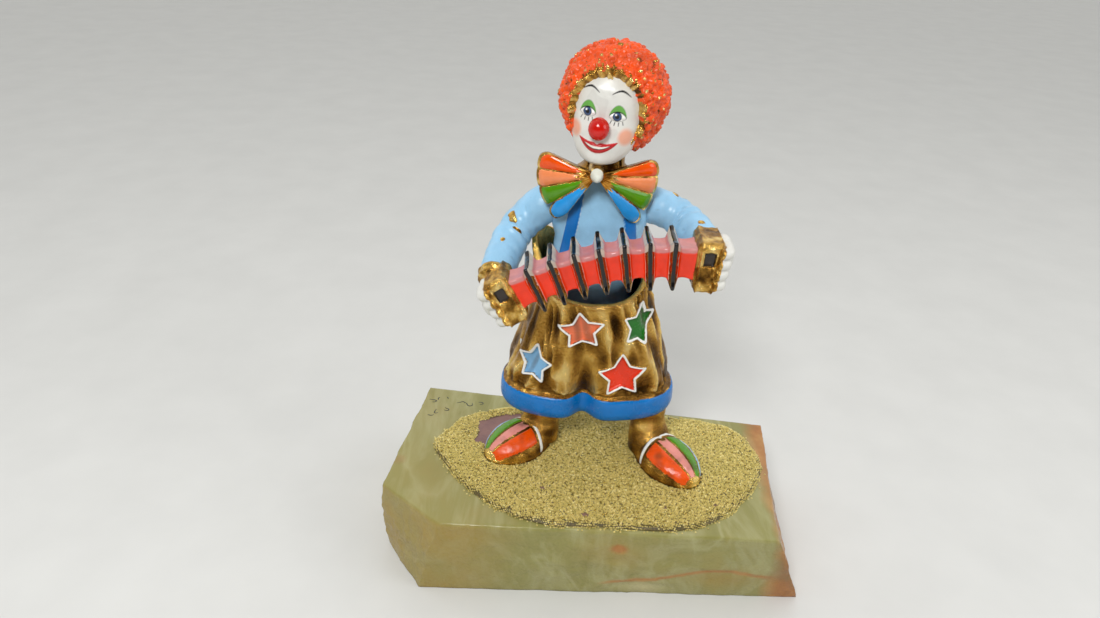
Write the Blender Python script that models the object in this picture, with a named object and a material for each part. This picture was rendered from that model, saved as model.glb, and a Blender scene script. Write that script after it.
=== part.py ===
"""Clown figurine: an enamelled, gold-plated casting of a clown with a concertina,
standing in a bed of gold beads on a rough-hewn onyx slab.
Metres, +Z up, the front towards -Y. Run with blender --background --python part.py"""

import math

import bmesh
import bpy
from mathutils import Euler, Matrix, Vector

# Driving sizes, in metres.
SLAB_WIDTH = 0.178
SLAB_DEPTH = 0.0957
SLAB_HEIGHT = 0.035
SLAB_ROUGHNESS = 0.0009
FIGURE_HEIGHT = 0.178
BED_THICKNESS = 0.0022
BED_EDGE = 0.0012
SEAT_GAP = 0.0003
WELD_DISTANCE = 0.00003

# The figure's own unit is a millimetre at its real height. Its pose, proportions and
# carving are given in it, so they stay shares of FIGURE_HEIGHT.
FIGURE_UNITS = 178.0
U = FIGURE_HEIGHT / FIGURE_UNITS
BALL_CENTRE = (3.0, 1.5, 156.0)
CURL_RISE = 1.2
BALL_RADIUS = FIGURE_UNITS - BALL_CENTRE[2] - CURL_RISE

# Where the figure stands, and the slab's and the bed's outlines, as shares of the
# slab's half width and half depth, anticlockwise from the back left.
FIGURE_PLACE = (-0.024, 0.363)
SLAB_TOP = (
    (-0.892, 1.0), (-1.0, -0.503), (-0.685, -0.956), (0.842, -1.0), (0.888, -0.237), (0.943, 0.582),
)
SLAB_FOOT = (
    (-0.91, 0.97), (-0.99, -0.49), (-0.80, -0.998), (1.0, -0.935), (0.985, -0.25), (0.97, 0.56),
)
BED_OUTLINE = (
    (-0.785, 0.137), (-0.737, -0.149), (-0.512, -0.651), (-0.228, -0.918), (0.041, -0.925), (0.4, -0.933),
    (0.647, -0.71), (0.857, -0.172), (0.85, 0.232), (0.76, 0.5), (0.513, 0.62), (0.01, 0.718),
    (-0.365, 0.7), (-0.629, 0.548),
)
SLAB_SIDE_RINGS = (0.0, 0.03, 0.25, 0.5, 0.72, 0.93, 1.0)
SLAB_SIDES = 60
BED_SIDES = 44
BED_RINGS = ((0.0, SEAT_GAP), (0.0, BED_EDGE), (0.035, BED_THICKNESS), (0.4, BED_THICKNESS))

# Trousers: height, half width and half depth of the cloth, from hem to waist.
HEM_FOOT = 22.3
HEM_TOP = 32.5
RIM_FRONT = 79.0
RIM_BACK = 97.0
# The rim's bunched lobe: its angle and spread in degrees, and how far it stands up and out.
RIM_LOBE = (168.0, 26.0, 11.0, 6.5)
WAIST_FLOOR = 54.0
HEM_ROOF = 30.0
CLOTH_THICKNESS = 1.9
TROUSER_SHAPE = (
    (22.3, 37.2, 19.4), (25.5, 38.2, 20.4), (30.0, 38.0, 20.3), (32.5, 37.4, 19.8), (33.6, 35.4, 18.2),
    (40.0, 34.2, 18.8), (50.0, 31.2, 19.3), (60.0, 28.2, 19.8), (70.0, 25.0, 20.2), (78.0, 22.6, 20.6),
    (86.0, 21.4, 19.6), (98.0, 20.6, 16.8), (110.0, 21.4, 16.0),
)
TROUSER_SIDES = 52
TROUSER_SQUARENESS = 0.82
TROUSER_FORWARD = 1.0
TROUSER_RINGS = (0.0, 0.055, 0.13, 0.178, 0.2, 0.29, 0.39, 0.49, 0.59, 0.69, 0.79, 0.89, 0.96, 1.0)
FLOOR_RINGS = (1.0, 0.6, 0.0)
# Folds of the cloth: how many run round, how they slant, how high they stand, where they start.
CLOTH_FOLDS = ((7, 1.0, 1.0, 0.0), (11, -1.6, 0.7, 1.0))
FOLD_SLANT = 20.0
# The cleft between the legs: centre x, half width, depth, the height where it ends and its fade.
LEG_CLEFT = (-2.0, 5.0, 6.5)
CLEFT_TOP = 66.0
CLEFT_FADE = 30.0
# Star patches: centre x and z, half width and half height, turn in degrees.
STARS = (
    (-22.7, 47.8, 6.5, 8.8, -10), (-5.4, 67.7, 8.8, 7.6, 2), (17.6, 68.5, 5.0, 7.6, -8),
    (13.2, 44.9, 9.6, 10.2, 3),
)
STAR_WAIST = 0.5
STAR_RISE = 0.8
STAR_ROOT = 1.2
STAR_HEART = 0.3

# Torso: height, centre x, centre y, half width, half depth.
TORSO_SHAPE = (
    (50.0, 0.0, 2.0, 14.5, 10.0), (75.0, 0.0, 1.0, 15.5, 11.0), (88.0, 0.3, 0.0, 17.0, 12.5),
    (98.0, 0.5, 0.0, 18.0, 13.2), (108.0, 0.5, 0.0, 19.0, 13.0), (115.0, 0.5, 0.5, 20.5, 12.2),
    (120.0, 0.5, 1.0, 20.5, 11.2), (124.5, 0.5, 1.0, 16.5, 9.6), (128.0, 0.6, 1.0, 11.0, 8.4),
    (131.5, 0.9, 0.8, 7.4, 7.0), (141.0, 1.2, 0.5, 7.0, 7.0),
)
# Sleeves: x, y, z and radius from the shoulder to the wrist, the viewer's left one first.
LEFT_SLEEVE = (
    (-9.0, 1.0, 116.5, 5.0), (-20.0, 1.0, 113.6, 7.4), (-28.5, 0.0, 106.8, 7.3), (-33.6, -3.0, 100.8, 7.3),
    (-36.4, -9.5, 96.4, 7.2), (-38.4, -17.0, 93.2, 6.9), (-40.0, -25.0, 90.4, 6.0),
)
RIGHT_SLEEVE = (
    (9.5, 1.0, 116.5, 5.0), (20.0, 1.0, 114.6, 7.3), (28.0, -0.5, 112.2, 7.2), (34.2, -4.0, 109.4, 7.2),
    (38.2, -11.0, 107.6, 7.0), (40.2, -18.5, 106.4, 6.6), (41.6, -26.0, 105.8, 5.8),
)

TORSO_SIDES = 24
TORSO_SQUARENESS = 0.9

# Shoes and legs: heel and toe in plan, the half widths at heel and ball, and where along
# the sole the ball is widest.
LEFT_SHOE = ((-13.0, 0.5), (-42.5, -24.5))
RIGHT_SHOE = ((23.0, -2.5), (47.0, -37.0))
SHOE_HEEL_HALF = 6.6
SHOE_BALL_HALF = 12.4
SHOE_BALL_AT = 0.725
SHOE_SWELL = 1.5
SHOE_SIDES = 18
SHOE_HEIGHT = 11.5
SOLE_OVER_BED = 0.6
UPPER_STEPS = (0.3, 0.55, 0.76, 0.92)
UPPER_CLOSE = 1.45
UPPER_CENTRE = 0.06
PRINT_MARGIN = 1.0
ANKLE_AT = 0.24
LEG_RADIUS = 7.0
LEG_SIDES = 12
# Leg sections: share of the ankle's x and y, height, and share of the leg's radius.
LEG_SHAPE = ((1.0, 1.0, 3.0, 1.0), (0.98, 0.8, 12.0, 0.92), (0.95, 0.5, 34.0, 1.1))

# Concertina: the centres of its two end boxes, how high the bellows arch over their
# chord, and the sizes of boxes, panels and folds.
LEFT_BOX = (-34.4, -30.5, 88.2)
RIGHT_BOX = (38.8, -30.5, 105.9)
ARCH_RISE = 5.9
BOX_HALF = (4.6, 8.6, 10.0)
BOX_BEVEL = (1.1, 1.4)
BOX_CORNER = 2.0
BELLOWS_HALF = (7.6, 8.4)
BELLOWS_CORNER = 1.2
BELLOWS_SEAT = 0.8
PANELS = 8
FOLD_DEPTH = 1.7
RIB_HALF = 0.7
FLANK = 1.6

# Gloves: the uppermost finger's lift over the bellows' middle and the fingers' pitch, then
# each finger's depth, reach outward and how far its radius exceeds half the pitch, from root
# to tip, so that neighbours stay joined, and the palm's sizes.
FINGERS = 4
FINGER_LIFT = 6.6
FINGER_PITCH = 4.3
FINGER_OUT = 0.3
FINGER_ROUTE = ((3.0, 0.2, 0.5), (-3.0, 0.9, 0.7), (-7.2, 0.6, 0.6), (-9.0, -2.2, 0.35))
PALM_OUT = 1.6
PALM_PLACE = (3.0, 1.0)
PALM_HALF = (4.6, 6.2, 8.6)

# Bow tie: knot, then the angle and the reach of each wing's upper and lower edge. The
# profile of a wing gives reach and thickness in front and behind from the knot outward.
KNOT = (-2.6, -18.0, 131.8)
KNOT_HALF = (2.9, 10.0, 3.3)
KNOT_PROUD = 3.0
LEFT_WING = (162.0, 239.0, 21.8, 24.4)
RIGHT_WING = (12.0, -57.0, 23.4, 26.0)
WING_SETBACK = 1.6
WING_SWEEP = 0.36
WING_THICKNESS = 2.6
WING_FRONT = ((0.1, 0.6), (0.55, 1.0), (0.86, 1.0), (1.0, 0.45))
WING_BACK = ((1.0, 0.45), (0.55, 1.0), (0.1, 0.6))
PLEATS = 4
PLEAT_RISE = 1.1
PLEAT_NOTCH = 0.07

# Head: centre, turn (degrees about x, y, z), then height, half width, front and back depth.
HEAD_CENTRE = (1.2, -0.5, 152.4)
HEAD_TURN = (-5.0, 5.0, -13.0)
HEAD_SHAPE = (
    (-18.6, 3.4, 12.6, -4.0), (-17.2, 6.6, 14.6, 0.0), (-13.4, 9.8, 15.6, 4.0), (-9.6, 11.6, 15.8, 7.0),
    (-5.3, 12.9, 15.8, 9.0), (-1.0, 13.7, 15.5, 10.0), (3.2, 14.0, 15.4, 10.5), (8.0, 13.8, 14.8, 10.5),
    (12.8, 12.0, 12.8, 9.5), (16.5, 8.6, 9.6, 7.0), (18.4, 3.6, 5.0, 3.0),
)
HEAD_SIDES = 30
HEAD_SQUARENESS = 0.9
# The face's forms on the usual proportions, eyes at half height: x and z of the middle,
# half width and half height, and how far they stand out. Those off the middle come in pairs.
FACE_FORMS = (
    (5.4, 0.0, 3.0, 2.4, -1.2), (7.4, -6.4, 3.2, 3.0, 0.8), (0.0, -11.1, 5.0, 2.6, 0.8),
    (0.0, -16.2, 3.6, 2.2, 0.9),
)
NOSE = (0.0, -17.6, -4.4, 3.9)
FACE_OPENING = (0.0, -15.0, -0.6)
FACE_OPENING_HALF = (13.6, 9.5, 16.2)


def remove_everything():
    for item in list(bpy.data.objects):
        bpy.data.objects.remove(item, do_unlink=True)


def along(table, at):
    """The row of a table at a height, straight between its rows."""
    if at <= table[0][0]:
        return table[0][1:]
    for low, high in zip(table, table[1:]):
        if at <= high[0]:
            share = (at - low[0]) / (high[0] - low[0])
            return [a + (b - a) * share for a, b in zip(low[1:], high[1:])]
    return table[-1][1:]


def spline(before, start, end, after, share):
    """A point on the smooth curve through four points, between the middle two."""
    square = share * share
    cube = square * share
    return 0.5 * (
        2 * start + (end - before) * share
        + (2 * before - 5 * start + 4 * end - after) * square
        + (3 * start - before - 3 * end + after) * cube
    )


def smooth_path(points, steps):
    """An open smooth curve through points, with a number of steps between each two."""
    knots = [Vector(p) for p in points]
    knots = [2 * knots[0] - knots[1]] + knots + [2 * knots[-1] - knots[-2]]
    path = []
    for i in range(1, len(knots) - 2):
        for step in range(steps):
            path.append(spline(*knots[i - 1:i + 3], step / steps))
    return path + [knots[-2]]


def smooth_loop(points, count):
    """A closed smooth curve through points, read at a number of even steps."""
    knots = [Vector(p) for p in points]
    total = len(knots)
    loop = []
    for i in range(count):
        at = i * total / count
        first = int(at)
        four = [knots[(first + k) % total] for k in (-1, 0, 1, 2)]
        loop.append(spline(*four, at - first))
    return loop


def straight_loop(points, count):
    """A closed outline with straight sides, read at a number of even steps."""
    total = len(points)
    loop = []
    for i in range(count):
        at = i * total / count
        first = int(at)
        start = Vector(points[first])
        end = Vector(points[(first + 1) % total])
        loop.append(start.lerp(end, at - first))
    return loop


def cap(mesh, row):
    """Closes a ring with a fan to its middle."""
    middle = sum((v.co for v in row), Vector()) / len(row)
    hub = mesh.verts.new(middle)
    for i, vert in enumerate(row):
        mesh.faces.new((vert, row[(i + 1) % len(row)], hub))


def loft(name, rings):
    """A closed body through rings of equally many points."""
    mesh = bmesh.new()
    rows = [[mesh.verts.new(p) for p in ring] for ring in rings]
    for low, high in zip(rows, rows[1:]):
        for i, vert in enumerate(low):
            j = (i + 1) % len(low)
            mesh.faces.new((vert, low[j], high[j], high[i]))
    cap(mesh, rows[0])
    cap(mesh, rows[-1])
    return finish_mesh(name, mesh)


def finish_mesh(name, mesh):
    bmesh.ops.triangulate(mesh, faces=mesh.faces)
    bmesh.ops.recalc_face_normals(mesh, faces=mesh.faces)
    data = bpy.data.meshes.new(name)
    mesh.to_mesh(data)
    mesh.free()
    item = bpy.data.objects.new(name, data)
    bpy.context.collection.objects.link(item)
    return item


def as_guide(item):
    item.hide_render = True
    item.display_type = "WIRE"
    return item


def combine(item, other, operation):
    step = item.modifiers.new(operation.lower() + "_" + other.name, "BOOLEAN")
    step.operation = operation
    step.solver = "EXACT"
    step.object = as_guide(other)


def weld(item):
    """Closes up the slivers that cuts leave where two surfaces nearly touch."""
    step = item.modifiers.new("weld", "WELD")
    step.merge_threshold = WELD_DISTANCE


def figure_point(x, y, z):
    """A point given in the figure's own unit, from the slab's top below its middle."""
    return Vector((
        FIGURE_PLACE[0] * SLAB_WIDTH / 2 + x * U,
        FIGURE_PLACE[1] * SLAB_DEPTH / 2 + y * U,
        SLAB_HEIGHT + z * U,
    ))


def figure_loft(name, rings):
    return loft(name, [[figure_point(*p) for p in ring] for ring in rings])


def oval(centre, half, count, squareness=1.0):
    """A level oval ring; a squareness below 1 fills out its corners."""
    ring = []
    for i in range(count):
        angle = 2 * math.pi * i / count
        cos, sin = math.cos(angle), math.sin(angle)
        across = math.copysign(abs(cos) ** squareness, cos)
        deep = math.copysign(abs(sin) ** squareness, sin)
        ring.append((centre[0] + half[0] * across, centre[1] + half[1] * deep, centre[2]))
    return ring


def ball(name, centre, half, turn=None, sides=14, rings=8):
    """An egg shape with its pole along z, in the figure's unit, turned about its centre."""
    turn = turn or Matrix.Identity(3)
    rows = []
    for i in range(rings):
        angle = math.pi * (i + 0.5) / rings - math.pi / 2
        ring = oval((0, 0, half[2] * math.sin(angle)), [h * math.cos(angle) for h in half[:2]], sides)
        rows.append([Vector(centre) + turn @ Vector(p) for p in ring])
    return figure_loft(name, rows)


def tube(name, route, sides=12, steps=2):
    """A round limb along a route of x, y, z and radius."""
    centres = smooth_path([r[:3] for r in route], steps)
    radii = smooth_path([(r[3], 0, 0) for r in route], steps)
    rings = []
    for i, centre in enumerate(centres):
        ahead = centres[min(i + 1, len(centres) - 1)] - centres[max(i - 1, 0)]
        side = ahead.cross(Vector((0, 0, 1))).normalized()
        lift = side.cross(ahead).normalized()
        ring = []
        for k in range(sides):
            angle = 2 * math.pi * k / sides
            ring.append(centre + radii[i].x * (side * math.cos(angle) + lift * math.sin(angle)))
        rings.append(ring)
    return figure_loft(name, rings)


def material(name, colour, roughness, metallic):
    made = bpy.data.materials.new(name)
    made.use_nodes = True
    shader = made.node_tree.nodes["Principled BSDF"]
    shader.inputs["Base Color"].default_value = (*colour, 1)
    shader.inputs["Roughness"].default_value = roughness
    shader.inputs["Metallic"].default_value = metallic
    return made


def stone_wave(x, y, z):
    """The slab's hewn roughness: a few crossed waves, between about -1 and 1."""
    wave = math.sin(190 * x + 130 * z + 1.3) + math.sin(310 * y - 170 * z + 0.4)
    wave += 0.8 * math.sin(520 * x - 410 * y + 260 * z)
    return wave / 2.4


def make_slab():
    tops = straight_loop([(*p, 0) for p in SLAB_TOP], SLAB_SIDES)
    feet = straight_loop([(*p, 0) for p in SLAB_FOOT], SLAB_SIDES)
    rings = []
    for share in SLAB_SIDE_RINGS:
        bulge = math.sin(math.pi * share)
        ring = []
        for foot, top in zip(feet, tops):
            spot = foot.lerp(top, share)
            x = spot.x * SLAB_WIDTH / 2
            y = spot.y * SLAB_DEPTH / 2
            z = share * SLAB_HEIGHT
            push = SLAB_ROUGHNESS * (stone_wave(x, y, z) * (0.5 + bulge) + bulge)
            out = Vector((x, y, 0)).normalized() * push
            ring.append(Vector((x + out.x, y + out.y, z)))
        rings.append(ring)
    fit_to_slab(rings)
    slab = loft("onyx_base", rings)
    slab.data.materials.append(material("onyx", (0.62, 0.63, 0.46), 0.3, 0.0))
    return slab


def fit_to_slab(rings):
    """Brings the rough outline to the slab's exact width and depth about the origin."""
    for axis, size in ((0, SLAB_WIDTH), (1, SLAB_DEPTH)):
        values = [p[axis] for ring in rings for p in ring]
        low, high = min(values), max(values)
        for ring in rings:
            for p in ring:
                p[axis] = (p[axis] - (low + high) / 2) * size / (high - low)


def shoe_ring(shoe, spread, level, pull=0.0):
    """A shoe's outline in plan: narrow heel, broad round toe. spread adds to its half
    width all round, pull draws it in towards the ball as the upper closes."""
    heel, toe = Vector(shoe[0]), Vector(shoe[1])
    ahead = (toe - heel).normalized()
    side = Vector((-ahead.y, ahead.x))
    length = (toe - heel).length
    ring = []
    for i in range(SHOE_SIDES):
        angle = 2 * math.pi * i / SHOE_SIDES
        run = 0.5 - 0.5 * math.cos(angle)
        swell = math.sin(run * math.pi / 2 / SHOE_BALL_AT) ** SHOE_SWELL
        half = SHOE_HEEL_HALF + (SHOE_BALL_HALF - SHOE_HEEL_HALF) * swell
        reach = (run - 0.5) * (1 - pull) + 0.5 - UPPER_CENTRE * pull
        across = math.sin(angle) * half * (1 - pull)
        outward = Vector((-math.cos(angle), math.sin(angle))) * spread
        spot = heel + ahead * (reach * length + outward.x) + side * (across + outward.y)
        ring.append((spot.x, spot.y, level))
    return ring


def make_shoe(name, shoe):
    """A sole with upright sides as deep as the bed, then a domed upper."""
    sole_top = BED_THICKNESS / U + SOLE_OVER_BED
    rise = SHOE_HEIGHT - sole_top
    rings = [shoe_ring(shoe, 0, SEAT_GAP / U), shoe_ring(shoe, 0, sole_top)]
    for step in UPPER_STEPS:
        level = sole_top + rise * math.sin(step * math.pi / 2)
        rings.append(shoe_ring(shoe, 0, level, 1 - math.cos(step * UPPER_CLOSE)))
    return figure_loft(name, rings)


def make_leg(name, shoe):
    """A leg from the shoe's heel half up under the hem."""
    heel, toe = Vector(shoe[0]), Vector(shoe[1])
    ankle = heel.lerp(toe, ANKLE_AT)
    rings = []
    for x_share, y_share, z, thickness in LEG_SHAPE:
        radius = LEG_RADIUS * thickness
        rings.append(oval((ankle.x * x_share, ankle.y * y_share, z), (radius, radius), LEG_SIDES))
    return figure_loft(name, rings)


def make_bed():
    outline = smooth_loop([(*p, 0) for p in BED_OUTLINE], BED_SIDES)
    middle = sum(outline, Vector()) / len(outline)
    rings = []
    for inward, level in BED_RINGS:
        ring = []
        for p in outline:
            spot = p.lerp(middle, inward)
            ring.append((spot.x * SLAB_WIDTH / 2, spot.y * SLAB_DEPTH / 2, SLAB_HEIGHT + level))
        rings.append(ring)
    bed = loft("bead_bed", rings)
    bed.data.materials.append(material("gold_beads", (0.62, 0.47, 0.17), 0.35, 0.8))
    for name, shoe in (("left_shoe_print", LEFT_SHOE), ("right_shoe_print", RIGHT_SHOE)):
        levels = (-PRINT_MARGIN, BED_THICKNESS / U + PRINT_MARGIN)
        shoe_print = figure_loft(name, [shoe_ring(shoe, SEAT_GAP / U, z) for z in levels])
        combine(bed, shoe_print, "DIFFERENCE")
    return bed


def lobe_share(angle):
    away = (math.degrees(angle) - RIM_LOBE[0]) / RIM_LOBE[1]
    return math.exp(-away * away)


def rim_level(angle):
    """The waist's rim slants from a low front to a high back, with a lobe bunched up at one side."""
    lobe = RIM_LOBE[2] * lobe_share(angle)
    return RIM_FRONT + (RIM_BACK - RIM_FRONT) * (0.5 + 0.5 * math.sin(angle)) + lobe


def drape(angle, level):
    """How far the cloth's folds stand out: ridges that fan down from the waist."""
    climb = (level - HEM_TOP) / FOLD_SLANT
    ridge = 0.0
    for count, slant, height, start in CLOTH_FOLDS:
        ridge += height * math.sin(count * angle + slant * climb + start)
    swell = math.sin(math.pi * min(max((level - HEM_TOP) / (RIM_FRONT - HEM_TOP), 0), 1)) ** 0.5
    return ridge * swell


def trouser_point(angle, level, inset):
    """A point of the trousers' cloth; the legs part in a cleft at front and back."""
    half_width, half_depth = along(TROUSER_SHAPE, level)
    flare = min(max((level - RIM_FRONT) / (rim_level(angle) - RIM_FRONT), 0), 1)
    fold = drape(angle, level) + RIM_LOBE[3] * lobe_share(angle) * flare
    cos, sin = math.cos(angle), math.sin(angle)
    x = math.copysign(abs(cos) ** TROUSER_SQUARENESS, cos) * (half_width - inset + fold)
    y = math.copysign(abs(sin) ** TROUSER_SQUARENESS, sin) * (half_depth - inset + fold)
    place, width, depth = LEG_CLEFT
    fade = min(max((CLEFT_TOP - level) / CLEFT_FADE, 0), 1)
    y -= depth * fade * math.exp(-((x - place) / width) ** 2) * sin
    return (x, y - TROUSER_FORWARD, level)


def trouser_front(x, level):
    """The depth of the trousers' front at a place, found by halving the angle's range."""
    low, high = math.pi, 2 * math.pi
    for step in range(24):
        middle = (low + high) / 2
        if trouser_point(middle, level, 0)[0] < x:
            low = middle
        else:
            high = middle
    return trouser_point(low, level, 0)[1]


def make_star(name, star):
    """A five-pointed patch that stands out a little from the front of the cloth."""
    x, z, half_width, half_height, turn = star
    rings = []
    for share, proud in ((STAR_HEART, -STAR_ROOT), (1, -STAR_ROOT), (1, STAR_RISE), (STAR_HEART, STAR_RISE)):
        ring = []
        for i in range(10):
            angle = math.radians(turn) + math.pi / 2 + math.pi * i / 5
            reach = share * (STAR_WAIST if i % 2 else 1)
            spot_x = x + half_width * reach * math.cos(angle)
            spot_z = z + half_height * reach * math.sin(angle)
            ring.append((spot_x, trouser_front(spot_x, spot_z) - proud, spot_z))
        rings.append(ring)
    return figure_loft(name, rings)


def make_trousers():
    """Baggy trousers: cloth outside, open at the waist down to a floor round the belly,
    and hollowed a little under the hem."""
    angles = [2 * math.pi * i / TROUSER_SIDES for i in range(TROUSER_SIDES)]
    rings = [[trouser_point(a, HEM_ROOF, 2 * CLOTH_THICKNESS) for a in angles]]
    rings.append([trouser_point(a, HEM_FOOT, CLOTH_THICKNESS) for a in angles])
    for share in TROUSER_RINGS:
        rings.append([trouser_point(a, HEM_FOOT + share * (rim_level(a) - HEM_FOOT), 0) for a in angles])
    for share in FLOOR_RINGS:
        levels = [WAIST_FLOOR + share * (rim_level(a) - WAIST_FLOOR) for a in angles]
        rings.append([trouser_point(a, z, CLOTH_THICKNESS) for a, z in zip(angles, levels)])
    return figure_loft("clown_figure", rings)


def make_torso():
    rings = []
    for z, x, y, half_width, half_depth in TORSO_SHAPE:
        rings.append(oval((x, y, z), (half_width, half_depth), TORSO_SIDES, TORSO_SQUARENESS))
    return figure_loft("torso", rings)


def head_matrix():
    return Euler([math.radians(a) for a in HEAD_TURN], "XYZ").to_matrix()


def face_relief(x, z):
    """How far the face stands in or out: eye hollows, cheeks, lips and chin."""
    relief = 0.0
    for place, level, half_width, half_height, height in FACE_FORMS:
        across = (abs(x) - place) / half_width
        relief += height * math.exp(-across ** 2 - ((z - level) / half_height) ** 2)
    return relief


def make_head():
    turn = head_matrix()
    rings = []
    for z, half_width, front, back in HEAD_SHAPE:
        ring = []
        for i in range(HEAD_SIDES):
            angle = 2 * math.pi * i / HEAD_SIDES
            cos, sin = math.cos(angle), math.sin(angle)
            x = half_width * math.copysign(abs(cos) ** HEAD_SQUARENESS, cos)
            y = (back - front) / 2 + sin * (back + front) / 2
            if sin < 0:
                y -= face_relief(x, z) * abs(sin) ** 0.5
            ring.append(Vector(HEAD_CENTRE) + turn @ Vector((x, y, z)))
        rings.append(ring)
    return figure_loft("head", rings)


def head_ball(name, centre, half, sides=14, rings=8):
    """An egg shape placed and turned with the head."""
    turn = head_matrix()
    return ball(name, Vector(HEAD_CENTRE) + turn @ Vector(centre), half, turn, sides, rings)


def make_hair():
    """A round wig of tight curls: a ball whose every second corner stands up as a curl,
    cut away in front for the face."""
    mesh = bmesh.new()
    bmesh.ops.create_icosphere(mesh, subdivisions=3, radius=1.0)
    for vert in mesh.verts:
        vert.co.normalize()
    crests = {tuple(round(c, 5) for c in vert.co) for vert in mesh.verts}
    bmesh.ops.subdivide_edges(mesh, edges=mesh.edges, cuts=1, use_grid_fill=True)
    for vert in mesh.verts:
        key = tuple(round(c, 5) for c in vert.co)
        height = BALL_RADIUS + (CURL_RISE if key in crests else 0)
        vert.co = figure_point(*(Vector(BALL_CENTRE) + vert.co.normalized() * height))
    hair = finish_mesh("hair", mesh)
    combine(hair, head_ball("face_opening", FACE_OPENING, FACE_OPENING_HALF), "DIFFERENCE")
    return hair


def arc_of_bellows():
    """Circle through both box centres with the arch's rise: centre, radius, angles."""
    left = Vector((LEFT_BOX[0], LEFT_BOX[2]))
    right = Vector((RIGHT_BOX[0], RIGHT_BOX[2]))
    half = (right - left).length / 2
    radius = (half * half + ARCH_RISE * ARCH_RISE) / (2 * ARCH_RISE)
    ahead = (right - left).normalized()
    up = Vector((-ahead.y, ahead.x))
    centre = (left + right) / 2 - up * (radius - ARCH_RISE)
    first = math.atan2(left.y - centre.y, left.x - centre.x)
    last = math.atan2(right.y - centre.y, right.x - centre.x)
    return centre, radius, first, last


def on_arc(run, deep, lift):
    """A point at a run along the bellows, a depth along y and a lift off their arc."""
    centre, radius, first, last = arc_of_bellows()
    angle = first - run / radius
    reach = radius + lift
    return (centre.x + reach * math.cos(angle), LEFT_BOX[1] + deep, centre.y + reach * math.sin(angle))


def arc_length():
    centre, radius, first, last = arc_of_bellows()
    return (first - last) * radius


def frame_ring(run, half_deep, half_high, corner):
    """A section of the concertina: a rectangle with cut corners."""
    a, b, c = half_deep, half_high, corner
    half = ((a, -b + c), (a, b - c), (a - c, b), (-a + c, b))
    spots = half + tuple((-deep, -lift) for deep, lift in half)
    return [on_arc(run, deep, lift) for deep, lift in spots]


def make_bellows():
    """Pleated bellows: each fold a narrow rib with sloping flanks, each panel a flat valley."""
    start = BOX_HALF[0] - BELLOWS_SEAT
    pitch = (arc_length() - 2 * start) / PANELS
    foot = RIB_HALF + FLANK
    fold_shape = ((-foot, FOLD_DEPTH), (-RIB_HALF, 0), (RIB_HALF, 0), (foot, FOLD_DEPTH))
    sections = [(start, FOLD_DEPTH)]
    for fold in range(1, PANELS):
        sections += [(start + fold * pitch + offset, sink) for offset, sink in fold_shape]
    sections.append((arc_length() - start, FOLD_DEPTH))
    deep, high = BELLOWS_HALF
    rings = [frame_ring(run, deep - sink, high - sink, BELLOWS_CORNER) for run, sink in sections]
    return figure_loft("bellows", rings)


def make_box(name, run):
    """An end box with bevelled rims."""
    half_long, deep, high = BOX_HALF
    inner = half_long - BOX_BEVEL[0]
    rings = []
    for offset, sink in ((-half_long, BOX_BEVEL[1]), (-inner, 0), (inner, 0), (half_long, BOX_BEVEL[1])):
        rings.append(frame_ring(run + offset, deep - sink, high - sink, BOX_CORNER))
    return figure_loft(name, rings)


def make_fingers(name, run, side):
    """Gloved fingers wrapped round the outer end of a box, one above the other."""
    fingers = []
    reach = run + side * (BOX_HALF[0] + FINGER_OUT)
    for i in range(FINGERS):
        lift = FINGER_LIFT - FINGER_PITCH * i
        route = []
        for deep, out, extra in FINGER_ROUTE:
            route.append((*on_arc(reach + side * out, deep, lift), FINGER_PITCH / 2 + extra))
        fingers.append(tube(name + "_finger_" + str(i + 1), route, 8, 1))
    return fingers


def make_palm(name, run, side):
    centre = on_arc(run + side * (BOX_HALF[0] + PALM_OUT), *PALM_PLACE)
    return ball(name + "_palm", centre, PALM_HALF, None, 12, 7)


def make_wing(name, wing):
    """A pleated bow wing: lobes that fan out from the knot, each crowned in front. The
    wing sweeps back the further it reaches sideways."""
    first, last, upper_reach, lower_reach = wing
    rings = []
    samples = PLEATS * 3
    for i in range(samples + 1):
        share = i / samples
        angle = math.radians(first + (last - first) * share)
        crest = abs(math.sin(math.pi * share * PLEATS))
        full = (upper_reach + (lower_reach - upper_reach) * share) * (1 - PLEAT_NOTCH * (1 - crest))
        front = WING_THICKNESS + PLEAT_RISE * crest
        section = [(full * reach, -front * thickness / 2) for reach, thickness in WING_FRONT]
        section += [(full * reach, WING_THICKNESS * thickness / 2) for reach, thickness in WING_BACK]
        ring = []
        for radius, deep in section:
            across = radius * math.cos(angle)
            y = KNOT[1] + WING_SETBACK + abs(across) * WING_SWEEP + deep
            ring.append((KNOT[0] + across, y, KNOT[2] + radius * math.sin(angle)))
        rings.append(ring)
    return figure_loft(name, rings)


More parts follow.
